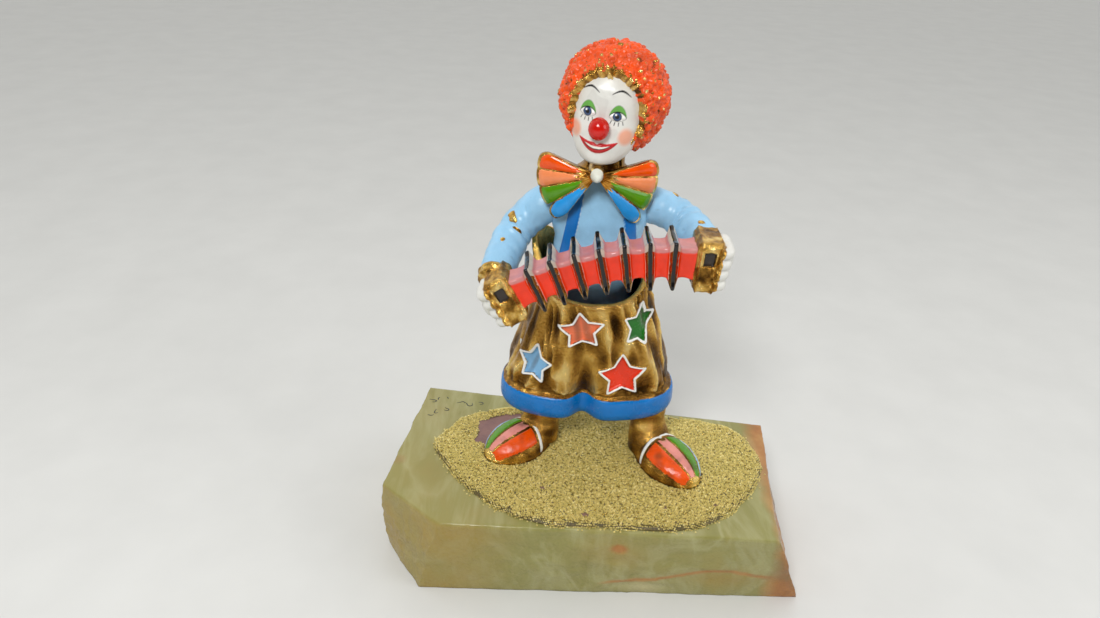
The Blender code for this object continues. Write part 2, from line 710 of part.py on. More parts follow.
def make_figure():
    figure = make_trousers()
    forms = [make_star("star_" + str(i + 1), star) for i, star in enumerate(STARS)]
    forms += [make_torso(), tube("left_sleeve", LEFT_SLEEVE), tube("right_sleeve", RIGHT_SLEEVE)]
    for name, shoe in (("left", LEFT_SHOE), ("right", RIGHT_SHOE)):
        forms.append(make_leg(name + "_leg", shoe))
        forms.append(make_shoe(name + "_shoe", shoe))
    forms.append(make_hair())
    forms.append(make_head())
    forms.append(head_ball("nose", NOSE[:3], (NOSE[3],) * 3, 12, 7))
    forms.append(make_wing("left_wing", LEFT_WING))
    forms.append(make_wing("right_wing", RIGHT_WING))
    knot_middle = (KNOT[0], KNOT[1] + KNOT_HALF[1] - KNOT_PROUD, KNOT[2])
    forms.append(ball("knot", knot_middle, KNOT_HALF, None, 12, 7))
    forms.append(make_bellows())
    for name, run, side in (("left", 0.0, -1), ("right", arc_length(), 1)):
        forms.append(make_box(name + "_box", run))
        forms.append(make_palm(name, run, side))
        forms.extend(make_fingers(name, run, side))
    for form in forms:
        combine(figure, form, "UNION")
    weld(figure)
    figure.data.materials.append(material("gold_plate", (0.66, 0.47, 0.16), 0.3, 1.0))
    return figure


remove_everything()
make_slab()
make_bed()
make_figure()
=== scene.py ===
import math

import bmesh
import bpy
import numpy as np
from mathutils import Euler, Matrix, Vector


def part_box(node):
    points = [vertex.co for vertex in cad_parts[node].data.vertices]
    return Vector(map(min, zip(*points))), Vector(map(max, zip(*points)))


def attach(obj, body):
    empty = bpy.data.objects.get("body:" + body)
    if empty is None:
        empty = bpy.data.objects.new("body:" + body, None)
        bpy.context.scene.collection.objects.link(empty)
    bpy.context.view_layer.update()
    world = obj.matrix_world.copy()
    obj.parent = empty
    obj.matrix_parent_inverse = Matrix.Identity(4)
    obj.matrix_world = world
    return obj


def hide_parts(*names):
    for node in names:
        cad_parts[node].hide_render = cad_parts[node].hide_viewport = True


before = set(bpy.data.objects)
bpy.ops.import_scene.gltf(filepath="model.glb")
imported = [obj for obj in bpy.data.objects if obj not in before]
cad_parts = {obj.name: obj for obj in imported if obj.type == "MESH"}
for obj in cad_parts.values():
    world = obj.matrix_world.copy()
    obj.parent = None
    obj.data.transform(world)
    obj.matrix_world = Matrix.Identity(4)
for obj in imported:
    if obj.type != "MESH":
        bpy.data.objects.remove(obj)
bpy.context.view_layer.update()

# The camera of the photograph: place in metres, angles in degrees, focal length in pixels.
CAMERA_PLACE = (-0.01995, -0.27765, 0.2663)
CAMERA_DOWN = 29.4
CAMERA_ROLL = 2.36
FOCAL_PIXELS = 790.0
IMAGE_WIDTH = 1100
SENSOR = 36.0

# The frame: the slab's size, and the figure's own millimetre as a share of its height.
SLAB_LOW, SLAB_HIGH = (np.array(corner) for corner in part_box("onyx_base"))
FIGURE_HIGH = np.array(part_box("clown_figure")[1])
SLAB_SIZE = SLAB_HIGH - SLAB_LOW
FIGURE_UNITS = 178.0
U = (FIGURE_HIGH[2] - SLAB_HIGH[2]) / FIGURE_UNITS
MM = 0.001
FIGURE_PLACE = (-0.024, 0.363)
FOOT = np.array([
    FIGURE_PLACE[0] * SLAB_SIZE[0] / 2, FIGURE_PLACE[1] * SLAB_SIZE[1] / 2, SLAB_HIGH[2],
])

# Slab and bed outlines, as shares of the slab's half width and half depth.
SLAB_TOP = (
    (-0.892, 1.0), (-1.0, -0.503), (-0.685, -0.956), (0.842, -1.0), (0.888, -0.237), (0.943, 0.582),
)
SLAB_FOOT = (
    (-0.91, 0.97), (-0.99, -0.49), (-0.80, -0.998), (1.0, -0.935), (0.985, -0.25), (0.97, 0.56),
)
BED_OUTLINE = (
    (-0.785, 0.137), (-0.737, -0.149), (-0.512, -0.651), (-0.228, -0.918), (0.041, -0.925), (0.4, -0.933),
    (0.647, -0.71), (0.857, -0.172), (0.85, 0.232), (0.76, 0.5), (0.513, 0.62), (0.01, 0.718),
    (-0.365, 0.7), (-0.629, 0.548),
)
BED_THICKNESS = 2.2

# The figure's forms in its own millimetres, x to the right, y back, z up from the slab.
HEM_FOOT, HEM_TOP, HEM_ROOF = 22.3, 32.5, 30.0
RIM_FRONT, RIM_BACK = 79.0, 97.0
RIM_LOBE = (168.0, 26.0, 11.0, 6.5)
WAIST_FLOOR = 54.0
CLOTH_THICKNESS = 1.9
TROUSER_SHAPE = np.array((
    (22.3, 37.2, 19.4), (25.5, 38.2, 20.4), (30.0, 38.0, 20.3), (32.5, 37.4, 19.8), (33.6, 35.4, 18.2),
    (40.0, 34.2, 18.8), (50.0, 31.2, 19.3), (60.0, 28.2, 19.8), (70.0, 25.0, 20.2), (78.0, 22.6, 20.6),
    (86.0, 21.4, 19.6), (98.0, 20.6, 16.8), (110.0, 21.4, 16.0),
))
TROUSER_SQUARENESS = 0.82
TROUSER_FORWARD = 1.0
CLOTH_FOLDS = ((7, 1.0, 1.0, 0.0), (11, -1.6, 0.7, 1.0))
FOLD_SLANT = 20.0
LEG_CLEFT = (-2.0, 5.0, 6.5)
CLEFT_TOP, CLEFT_FADE = 66.0, 30.0
TORSO_SHAPE = np.array((
    (50.0, 0.0, 2.0, 14.5, 10.0), (75.0, 0.0, 1.0, 15.5, 11.0), (88.0, 0.3, 0.0, 17.0, 12.5),
    (98.0, 0.5, 0.0, 18.0, 13.2), (108.0, 0.5, 0.0, 19.0, 13.0), (115.0, 0.5, 0.5, 20.5, 12.2),
    (120.0, 0.5, 1.0, 20.5, 11.2), (124.5, 0.5, 1.0, 16.5, 9.6), (128.0, 0.6, 1.0, 11.0, 8.4),
    (131.5, 0.9, 0.8, 7.4, 7.0), (141.0, 1.2, 0.5, 7.0, 7.0),
))
TORSO_SQUARENESS = 0.9
LEFT_SLEEVE = (
    (-9.0, 1.0, 116.5, 5.0), (-20.0, 1.0, 113.6, 7.4), (-28.5, 0.0, 106.8, 7.3), (-33.6, -3.0, 100.8, 7.3),
    (-36.4, -9.5, 96.4, 7.2), (-38.4, -17.0, 93.2, 6.9), (-40.0, -25.0, 90.4, 6.0),
)
RIGHT_SLEEVE = (
    (9.5, 1.0, 116.5, 5.0), (20.0, 1.0, 114.6, 7.3), (28.0, -0.5, 112.2, 7.2), (34.2, -4.0, 109.4, 7.2),
    (38.2, -11.0, 107.6, 7.0), (40.2, -18.5, 106.4, 6.6), (41.6, -26.0, 105.8, 5.8),
)
LEFT_SHOE = ((-13.0, 0.5), (-42.5, -24.5))
RIGHT_SHOE = ((23.0, -2.5), (47.0, -37.0))
SHOE_HEEL_HALF, SHOE_BALL_HALF, SHOE_BALL_AT, SHOE_SWELL = 6.6, 12.4, 0.725, 1.5
SHOE_HEIGHT = 11.5
SOLE_TOP = BED_THICKNESS + 0.6
UPPER_CLOSE = 1.45
UPPER_CENTRE = 0.06
ANKLE_AT = 0.24
LEG_RADIUS = 7.0
INSTEP = 1.8
LEG_SHAPE = ((1.0, 1.0, 3.0, 1.0), (0.98, 0.8, 12.0, 0.92), (0.95, 0.5, 34.0, 1.1))
LEFT_BOX = (-34.4, -30.5, 88.2)
RIGHT_BOX = (38.8, -30.5, 105.9)
ARCH_RISE = 5.9
BOX_HALF = (4.6, 8.6, 10.0)
BELLOWS_HALF = (7.6, 8.4)
BELLOWS_CORNER, BOX_CORNER = 1.2, 2.0
BELLOWS_SEAT = 0.8
PANELS, FOLD_DEPTH, RIB_HALF, FLANK = 8, 1.7, 0.7, 1.6
FINGERS, FINGER_LIFT, FINGER_PITCH, FINGER_OUT = 4, 6.6, 4.3, 0.5
FINGER_ROUTE = ((3.0, 0.2, 2.2), (-3.0, 0.8, 2.3), (-7.2, 0.4, 2.2), (-9.0, -2.6, 1.9))
PALM_OUT, PALM_PLACE, PALM_HALF = 1.6, (3.0, 1.0), (4.6, 6.2, 8.6)
KNOT = (-2.6, -18.0, 131.8)
KNOT_HALF = (2.9, 10.0, 3.3)
KNOT_PROUD = 3.0
LEFT_WING = (162.0, 239.0, 21.8, 24.4)
RIGHT_WING = (12.0, -57.0, 23.4, 26.0)
WING_SETBACK, WING_SWEEP, WING_THICKNESS = 1.6, 0.36, 2.6
BALL_CENTRE = (3.0, 1.5, 156.0)
CURL_RISE = 1.2
BALL_RADIUS = FIGURE_UNITS - BALL_CENTRE[2] - CURL_RISE
HEAD_CENTRE = (1.2, -0.5, 152.4)
HEAD_TURN = (-5.0, 5.0, -13.0)
HEAD_SHAPE = np.array((
    (-18.6, 3.4, 12.6, -4.0), (-17.2, 6.6, 14.6, 0.0), (-13.4, 9.8, 15.6, 4.0), (-9.6, 11.6, 15.8, 7.0),
    (-5.3, 12.9, 15.8, 9.0), (-1.0, 13.7, 15.5, 10.0), (3.2, 14.0, 15.4, 10.5), (8.0, 13.8, 14.8, 10.5),
    (12.8, 12.0, 12.8, 9.5), (16.5, 8.6, 9.6, 7.0), (18.4, 3.6, 5.0, 3.0),
))
FACE_FORMS = (
    (5.4, 0.0, 3.0, 2.4, -1.2), (7.4, -6.4, 3.2, 3.0, 0.8), (0.0, -11.1, 5.0, 2.6, 0.8),
    (0.0, -16.2, 3.6, 2.2, 0.9),
)
NOSE = (0.0, -17.6, -4.4, 3.9)
CHEEK_TURN = 1.12
FACE_OPENING = (1.3, -15.0, -0.6)
FACE_OPENING_HALF = (14.8, 9.5, 16.2)

# Enamel colours, as red, green and blue out of 255.
ORANGE = (244, 84, 0)
HAIR = (250, 86, 0)
PEACH = (248, 146, 92)
LEAF = (84, 150, 6)
ROYAL = (10, 118, 200)
LOBE_BLUE = (36, 158, 236)
SKY = (156, 208, 242)
HEM_BLUE = (0, 118, 198)
WHITE = (226, 225, 218)
OUTLINE_WHITE = (242, 242, 238)
CREAM = (226, 228, 214)
BELLOWS_RED = (246, 52, 0)
NOSE_RED = (206, 22, 10)
LIP_RED = (196, 24, 28)
BLACK = (14, 12, 14)
# A paler pink for the bellows' tops: a painted sheen.
TOP_SHEEN_PINK = (214, 138, 136)
BEIGE = (208, 198, 182)
ROSE = (236, 150, 138)
LID_GREEN = (104, 176, 72)
# Near black inside the waist: dark paint deepened as painted shade of the hollow.
WAIST_SHADE_DARK = (14, 20, 30)
FAR = 10.0

# Stars: centre x and z, half width and half height, turn in degrees, enamel colour.
STARS = (
    (-22.7, 47.8, 6.5, 8.8, -10, (128, 182, 222)), (-4.6, 67.5, 8.9, 8.3, 7, (242, 122, 76)),
    (18.0, 69.4, 6.0, 9.0, -5, (24, 112, 22)), (13.2, 44.9, 9.6, 10.2, 3, (240, 52, 0)),
)
STAR_WAIST = 0.54
STAR_RIM = 0.46
STAR_GROW = 0.25

# The slab's sides and stains, and the strokes on its top, in the slab's own millimetres.
HEWN_DEPTH, CHIP_DEPTH, SIDE_BULGE, EDGE_WEAR, TOP_WAVE = 0.9, 0.3, 0.9, 0.5, 0.048
SLAB_FRONT = (-38.0, -44.0)
RIGHT_STAIN = (66.0, 82.0)
CORNER_STAIN = (-84.0, -8.0, 30 ** 0.5)
ORANGE_SPOT = (12.0, 26.0, 4.0, 2.6)
YELLOW_PATCHES = ((0.7, (12.0, 24.0, 15.0, 8.0)), (0.9, (56.0, 11.0, 15.0, 5.0)))
CREAM_PATCH = (22.0, 4.0, 9.0, 3.2)
STROKE_ROWS = (
    ((-77.5, 36.0), (-65.0, 40.5)), ((-63.0, 35.5), (-50.5, 36.0)), ((-77.0, 25.5), (-66.5, 31.5)),
)
STROKE_HALF = 0.3

# The bead bed, with the places that have lost their beads: an outline, and x, y and radius.
BED_STEPS = 88
GLUE_THICKNESS = 1.35
BEAD_PITCH, BEAD_RADIUS, BEAD_CLEARANCE, STRAY_SHARE = 0.86, (0.4, 0.47), 0.45, 0.07
BARE_PATCH = ((-30, 28), (-41, 25), (-51, 20), (-50, 12), (-52, 5), (-44, 2), (-30, 16))
BARE_SPOTS = ((-2, -38.6, 1.6), (31, -32.8, 1.4), (-20, -24, 0.8), (52, -30, 1.0), (12, -28, 0.7))

# Braces: their middles at the shoulder and at the waist, and their half width.
BRACES = ((-8.4, -14.6), (10.0, 15.4))
BRACE_HALF = 2.3

# Finer sizes of the cuffs, the concertina (a hollow's level and half sizes) and the bow.
CUFF_LENGTH, CUFF_STEP, ELBOW_AT = 4.2, 1.2, 0.52
RIB_RUNS = (0.3, 0.55, 0.7, 0.8, 1.1, 1.5, 1.9, 2.3)
BOX_HOLLOW = (3.6, 2.6, 1.9)
BOX_DENT = 0.196
LOBE_COLOURS = (ORANGE, PEACH, LEAF, LOBE_BLUE)
WING_BACK = (1.0, 0.97, 0.9, 0.7, 0.4, 0.1)

# Chips in the sleeves: share of the length, turn in degrees, radius. Stripes: share aside, colour.
LEFT_CHIPS = ((0.46, 112, 2.0), (0.54, 136, 1.8), (0.7, 90, 0.8))
RIGHT_CHIPS = ((0.36, 100, 1.2), (0.43, 125, 0.9), (0.75, 85, 1.5))
SHOE_STRIPES = ((0.72, 0.98, SKY), (0.24, 0.64, LEAF), (-0.2, 0.16, ROSE), (-0.82, -0.3, ORANGE))
STRAP_AT, STRAP_HALF = 0.40, 0.85

# The painted face, in the head's own millimetres: eyes, brows, mouth and teeth.
EYE_AT, EYE_HALF = 5.5, 3.1
BROW_AT, BROW_HALF = 5.6, 3.4
MOUTH_LEVEL, MOUTH_HALF, TEETH_HALF = 11.2, 7.2, 5.0

# The wig: its curls, and the direction in which its crown is worn.
CURLS = 640
CURL_HALF = 1.9
CROWN_WORN = (-0.25, -0.7, 0.66)


def srgb(colour):
    """A colour out of 255 as the linear light that shaders use."""
    values = np.asarray(colour, float) / 255
    return np.where(values <= 0.04045, values / 12.92, ((values + 0.055) / 1.055) ** 2.4)


def place(points):
    """Figure millimetres to metres in the frame."""
    return FOOT + np.asarray(points, float) * U


def smooth_step(low, high, value):
    share = np.clip((value - low) / (high - low), 0, 1)
    return share * share * (3 - 2 * share)


def lattice(cell, seed):
    """A fixed random value between -1 and 1 at each cell corner."""
    mixed = cell[..., 0] * 73856093 ^ cell[..., 1] * 19349663 ^ cell[..., 2] * 83492791 ^ (seed + 1) * 40503
    mixed = (mixed ^ (mixed >> 13)) * 1274126177 & 0xffffffff
    mixed = (mixed ^ (mixed >> 15)) * 668265263 & 0xffffffff
    return ((mixed ^ (mixed >> 16)) & 0xffff) / 32767.5 - 1


def noise(points, size, seed=0):
    """Smooth noise between -1 and 1, with bumps of a size in the points' own unit."""
    spots = np.asarray(points, float) / size
    cell = np.floor(spots).astype(np.int64)
    part = spots - cell
    part = part * part * (3 - 2 * part)
    total = np.zeros(spots.shape[:-1])
    for corner in np.ndindex(2, 2, 2):
        weight = np.prod(np.where(np.array(corner) == 1, part, 1 - part), axis=-1)
        total += weight * lattice(cell + np.array(corner), seed)
    return total


def layered(points, size, octaves=3, seed=0):
    total = np.zeros(np.asarray(points).shape[:-1])
    for octave in range(octaves):
        total += noise(points, size / 2 ** octave, seed + 17 * octave) / 2 ** octave
    return total


def smooth_curve(table, column, at):
    """A smooth curve through a table's column that never overshoots its rows."""
    xs, ys = table[:, 0], table[:, column]
    gaps = np.diff(xs)
    rises = np.diff(ys) / gaps
    slopes = np.concatenate([rises[:1], np.zeros(len(xs) - 2), rises[-1:]])
    both = rises[1:] * rises[:-1]
    total = rises[1:] + rises[:-1]
    slopes[1:-1] = np.where(both > 0, 2 * both / np.where(total == 0, 1, total), 0)
    i = np.clip(np.searchsorted(xs, at) - 1, 0, len(xs) - 2)
    t = np.clip((at - xs[i]) / gaps[i], 0, 1)
    start, end = ys[i], ys[i + 1]
    bend = (1 - t) * slopes[i] * gaps[i] - t * slopes[i + 1] * gaps[i]
    return start + (end - start) * t * t * (3 - 2 * t) + t * (1 - t) * bend


def hill(value, centre, width):
    """1 at the centre, fading smoothly to nothing over about twice the width."""
    return np.exp(-((value - centre) / width) ** 2)


def patch(x, z, shape):
    """A soft round patch: centre, half width, half height."""
    return hill(x, shape[0], shape[2]) * hill(z, shape[1], shape[3])


def blend(knots, first, share):
    """The smooth cubic from each knot to the next; share says how far along it is read."""
    before, start, end, after = (knots[(first + k) % len(knots)] for k in (-1, 0, 1, 2))
    return 0.5 * (
        2 * start + (end - before) * share
        + (2 * before - 5 * start + 4 * end - after) * share ** 2
        + (3 * start - before - 3 * end + after) * share ** 3
    )


def smooth_path(points, count):
    """An open smooth curve through rows of numbers, read at even steps."""
    knots = np.array(points, float)
    knots = np.vstack([2 * knots[0] - knots[1], knots, 2 * knots[-1] - knots[-2]])
    at = np.linspace(0, len(points) - 1, count)
    first = np.minimum(at.astype(int), len(points) - 2)
    return blend(knots, first + 1, (at - first)[:, None])


def loop_steps(points, count):
    knots = np.array(points, float)
    at = np.arange(count) * len(knots) / count
    first = at.astype(int)
    return knots, first, (at - first)[:, None]


def smooth_loop(points, count):
    """A closed smooth curve through points, read at even steps."""
    return blend(*loop_steps(points, count))


def straight_loop(points, count):
    knots, first, share = loop_steps(points, count)
    return knots[first] * (1 - share) + knots[(first + 1) % len(knots)] * share


def length_along(points):
    """How far each point lies along the line through all of them."""
    return np.concatenate([[0], np.cumsum(np.linalg.norm(np.diff(points, axis=0), axis=1))])


def outline_distance(x, y, outline):
    """Distance to a closed outline, negative inside it."""
    best = np.full(np.shape(x), np.inf)
    inside = np.zeros(np.shape(x), bool)
    for (ax, ay), (bx, by) in zip(outline, np.roll(outline, -1, axis=0)):
        ex, ey = bx - ax, by - ay
        share = np.clip(((x - ax) * ex + (y - ay) * ey) / (ex * ex + ey * ey), 0, 1)
        best = np.minimum(best, np.hypot(x - ax - share * ex, y - ay - share * ey))
        if ey:
            inside ^= ((ay > y) != (by > y)) & (x < ex * (y - ay) / ey + ax)
    return np.where(inside, -best, best)


def front_angles(count, pull=0.4):
    """Angles all round, closer together at the front."""
    steps = (np.arange(count) + 0.5) / count * 2 - 1
    return -math.pi / 2 + math.pi * (steps * (1 - pull) + pull * steps ** 3)


def power(value, exponent):
    return np.copysign(np.abs(value) ** exponent, value)


def grid_quads(rows, columns):
    i, j = np.meshgrid(np.arange(rows - 1), np.arange(columns), indexing="ij")
    a = i * columns + j
    b = i * columns + (j + 1) % columns
    return np.stack([a, b, b + columns, a + columns], -1).reshape(-1, 4)


def cap_triangles(row_start, columns, hub):
    j = np.arange(columns)
    return np.stack([row_start + j, row_start + (j + 1) % columns, np.full(columns, hub)], -1)


def signed_volume(points, triangles):
    a, b, c = (points[triangles[:, k]] for k in range(3))
    return np.einsum("ij,ij->i", a, np.cross(b, c)).sum()


class Form:
    """A closed surface being shaped: points in figure millimetres, faces and painted values."""

    def __init__(self, points, quads, triangles=None):
        self.points = np.asarray(points, float)
        self.quads = np.asarray(quads, np.int64).reshape(-1, 4)
        none = np.zeros((0, 3), np.int64)
        self.triangles = none if triangles is None else np.asarray(triangles, np.int64)
        self.values = {}

    @classmethod
    def from_grid(cls, grid):
        """Rows of rings, closed round, with a fan over the first and the last ring."""
        rows, columns = grid.shape[:2]
        hubs = np.stack([grid[0].mean(0), grid[-1].mean(0)])
        points = np.vstack([grid.reshape(-1, 3), hubs])
        count = rows * columns
        first = cap_triangles(0, columns, count)[:, ::-1]
        last = cap_triangles(count - columns, columns, count + 1)
        return cls(points, grid_quads(rows, columns), np.vstack([first, last]))

    @classmethod
    def merged(cls, forms):
        """Several surfaces as one."""
        starts = np.cumsum([0] + [len(form.points) for form in forms[:-1]])
        return cls(
            np.vstack([form.points for form in forms]),
            np.vstack([form.quads + start for form, start in zip(forms, starts)]),
            np.vstack([form.triangles + start for form, start in zip(forms, starts)]),
        )

    def set(self, name, value):
        """Keeps one number or colour for each point; a grid's two hubs repeat its ends."""
        value = np.asarray(value, float)
        if name == "grime":
            value = np.clip(value, 0, 1)
        shape = (len(self.points), 3) if name == "paint" else (len(self.points),)
        if value.ndim == 0 or value.shape == (3,):
            value = np.broadcast_to(value, shape)
        else:
            value = value.reshape((-1, *shape[1:]))
            if len(value) < len(self.points):
                value = np.concatenate([value, value[:1], value[-1:]])
        self.values[name] = value

    def face_outward(self):
        halves = np.vstack([self.quads[:, [0, 1, 2]], self.quads[:, [0, 2, 3]], self.triangles])
        if signed_volume(self.points - self.points.mean(0), halves) < 0:
            self.quads = self.quads[:, ::-1]
            self.triangles = self.triangles[:, ::-1]
        return self

    def mesh(self, name, to_metres=place):
        self.face_outward()
        mesh = bpy.data.meshes.new(name)
        mesh.vertices.add(len(self.points))
        mesh.vertices.foreach_set("co", to_metres(self.points).astype(np.float32).ravel())
        corners = np.concatenate([self.quads.ravel(), self.triangles.ravel()]).astype(np.int32)
        fours, threes = len(self.quads), len(self.triangles)
        starts = np.concatenate([np.arange(fours) * 4, fours * 4 + np.arange(threes) * 3]).astype(np.int32)
        mesh.loops.add(len(corners))
        mesh.loops.foreach_set("vertex_index", corners)
        mesh.polygons.add(len(starts))
        mesh.polygons.foreach_set("loop_start", starts)
        mesh.update(calc_edges=True)
        for key, value in self.values.items():
            kind, field = ("FLOAT_COLOR", "color") if key == "paint" else ("FLOAT", "value")
            if key == "paint":
                value = np.column_stack([value, np.ones(len(value))])
            mesh.attributes.new(key, kind, "POINT").data.foreach_set(field, value.ravel())
        mesh.shade_smooth()
        return mesh

    def piece(self, name, slot, look, node="clown_figure", to_metres=place, **values):
        """Paints the surface and puts it in the scene as a piece that stands for a node."""
        if "edge" in values:
            values.setdefault("rim", FAR)
        for key, value in values.items():
            self.set(key, value)
        add_piece(name, self.mesh(name, to_metres), slot, look, node)


def add_piece(name, mesh, slot, look, *nodes):
    """Puts a mesh in the scene as a piece that stands for the CAD's nodes."""
    piece = bpy.data.objects.new(name, mesh)
    bpy.context.collection.objects.link(piece)
    mesh.materials.append(look)
    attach(piece, "root")
    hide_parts(*nodes)
    return piece


class Look:
    """A node material, with short ways to add the nodes that these looks need."""

    def __init__(self, name, **constants):
        self.material = bpy.data.materials.new(name)
        self.material.use_nodes = True
        self.tree = self.material.node_tree
        self.shader = self.tree.nodes["Principled BSDF"]
        for key, value in constants.items():
            self.shader.inputs[key.replace("_", " ")].default_value = value

    def node(self, kind, values=None, **settings):
        made = self.tree.nodes.new("ShaderNode" + kind)
        for key, value in settings.items():
            setattr(made, key, value)
        for key, value in (values or {}).items():
            self.join(value, made.inputs[key])
        return made

    def join(self, value, socket):
        if isinstance(value, bpy.types.NodeSocket):
            self.tree.links.new(value, socket)
        else:
            socket.default_value = value

    def spots(self):
        return self.node("TexCoord").outputs["Object"]

    def noise(self, size, detail=3.0, roughness=0.55, stretch=(1, 1, 1), distortion=0.0):
        """Noise between 0 and 1 with features of a size in millimetres."""
        where = self.node("Mapping", {"Vector": self.spots(), "Scale": stretch}).outputs[0]
        values = {"Vector": where, "Scale": 1 / (size * MM), "Detail": detail, "Roughness": roughness}
        values["Distortion"] = distortion
        return self.node("TexNoise", values).outputs["Fac"]

    def value(self, name):
        return self.node("Attribute", attribute_name=name).outputs["Fac"]

    def colour(self, name):
        return self.node("Attribute", attribute_name=name).outputs["Color"]

    def mix(self, share, first, second, blend="MIX"):
        made = self.node("Mix", data_type="RGBA", blend_type=blend)
        for socket, value in zip((made.inputs[0], made.inputs[6], made.inputs[7]), (share, first, second)):
            self.join((*value, 1) if isinstance(value, (tuple, list, np.ndarray)) else value, socket)
        return made.outputs[2]

    def math(self, operation, first, second=0.0):
        return self.node("Math", {0: first, 1: second}, operation=operation).outputs[0]

    def span(self, value, low, high, start=0.0, end=1.0):
        """Maps a value from one range to another, held at its ends."""
        values = {"Value": value, "From Min": low, "From Max": high, "To Min": start, "To Max": end}
        return self.node("MapRange", values).outputs[0]

    def ramp(self, value, *stops):
        made = self.node("ValToRGB", {"Fac": value})
        steps = made.color_ramp.elements
        while len(steps) < len(stops):
            steps.new(0.5)
        for step, (at, colour) in zip(steps, stops):
            step.position = at
            step.color = (*srgb(colour), 1)
        return made.outputs["Color"]

    def bump(self, height, depth, strength=1.0, below=None):
        values = {"Height": height, "Distance": depth * MM, "Strength": strength}
        if below is not None:
            values["Normal"] = below
        return self.node("Bump", values).outputs[0]

    def finish(self, **links):
        for key, value in links.items():
            self.join(value, self.shader.inputs[key.replace("_", " ")])
        return self.material


def gold_colour(look, grime, fine):
    """Antique gold plate: bright where rubbed, olive brown where the patina and the painted shade of hollows
    sit.
    """
    ramp_at = look.math("ADD", grime, look.span(fine, 0.3, 0.7, -0.09, 0.09))
    return look.ramp(
        ramp_at, (0.0, (255, 230, 156)), (0.28, (222, 178, 90)), (0.5, (164, 120, 52)), (0.75, (102, 70, 27)),
        (1.0, (46, 32, 14)),
    )


def enamel_look(name, roughness=0.1, grain=0.12, shade=0.16, rim_colour=OUTLINE_WHITE):
    """Glossy enamel in the piece's painted colours over antiqued gold plate. The piece's
    edge value says how far a point lies outside the enamel, its rim value how far outside
    the raised outline, and its patina value how much patina and painted shade darken the
    gold, and the enamel too where it is high."""
    look = Look(name)
    fine = look.noise(0.9, 4.0, 0.6)
    broad = look.noise(7.0, 3.0)
    grime = look.value("grime")
    ragged = look.span(fine, 0.3, 0.7, -0.22, 0.22)
    bare = look.span(look.math("ADD", look.value("edge"), ragged), -0.07, 0.07)
    wavy = look.span(fine, 0.3, 0.7, -0.07, 0.07)
    rim = look.span(look.math("ADD", look.value("rim"), wavy), -0.07, 0.07, 1.0, 0.0)
    paint = look.colour("paint")
    darker = look.mix(1.0, paint, (1 - shade, 1 - shade, 1 - shade), "MULTIPLY")
    enamel = look.mix(look.span(broad, 0.35, 0.65), paint, darker)
    # High values darken the enamel towards brown: painted shade where they follow pits and creases, dirt
    # where they follow noise.
    enamel = look.mix(look.span(grime, 0.55, 1.0, 0.0, 0.75), enamel, srgb((70, 52, 30)))
    mixed = look.mix(bare, enamel, gold_colour(look, grime, fine))
    mixed = look.mix(rim, mixed, srgb(rim_colour))
    metal = look.math("MULTIPLY", bare, look.math("SUBTRACT", 1.0, rim))
    smooth = look.span(broad, 0.3, 0.7, roughness, roughness + 0.1)
    rough_gold = look.span(look.math("ADD", grime, fine), 0.4, 1.6, 0.07, 0.36)
    roughness_mix = look.node("Mix", {0: metal, 2: smooth, 3: rough_gold}).outputs[0]
    pits = look.math("MULTIPLY", fine, look.span(metal, 0.0, 1.0, 0.18, 1.0))
    normal = look.bump(pits, grain)
    normal = look.bump(broad, 0.35, 0.6, normal)
    return look.finish(Base_Color=mixed, Metallic=metal, Roughness=roughness_mix, Normal=normal)


def bead_look():
    look = Look("gold_beads", Metallic=1.0)
    tone = look.value("tone")
    fine = look.noise(1.2, 2.0)
    ramp_at = look.math("ADD", tone, look.span(fine, 0.3, 0.7, -0.1, 0.1))
    colour = look.ramp(
        ramp_at, (0.0, (150, 132, 70)), (0.35, (206, 188, 112)), (0.7, (230, 214, 142)), (1.0, (252, 244, 190)),
    )
    return look.finish(Base_Color=colour, Roughness=look.span(fine, 0.3, 0.7, 0.24, 0.42))


def glue_look():
    look = Look("dried_glue")
    blotch = look.noise(9.0, 4.0)
    fine = look.noise(0.8, 3.0)
    open_glue = look.ramp(blotch, (0.3, (118, 82, 80)), (0.7, (150, 112, 104)))
    # Under the beads the glue is darker: painted shade in the gaps between beads.
    packed_gap_shade = look.ramp(fine, (0.3, (46, 38, 18)), (0.7, (120, 104, 52)))
    colour = look.mix(look.value("bare"), packed_gap_shade, open_glue)
    return look.finish(
        Base_Color=colour, Roughness=look.span(blotch, 0.3, 0.7, 0.3, 0.55), Normal=look.bump(fine, 0.25),
    )


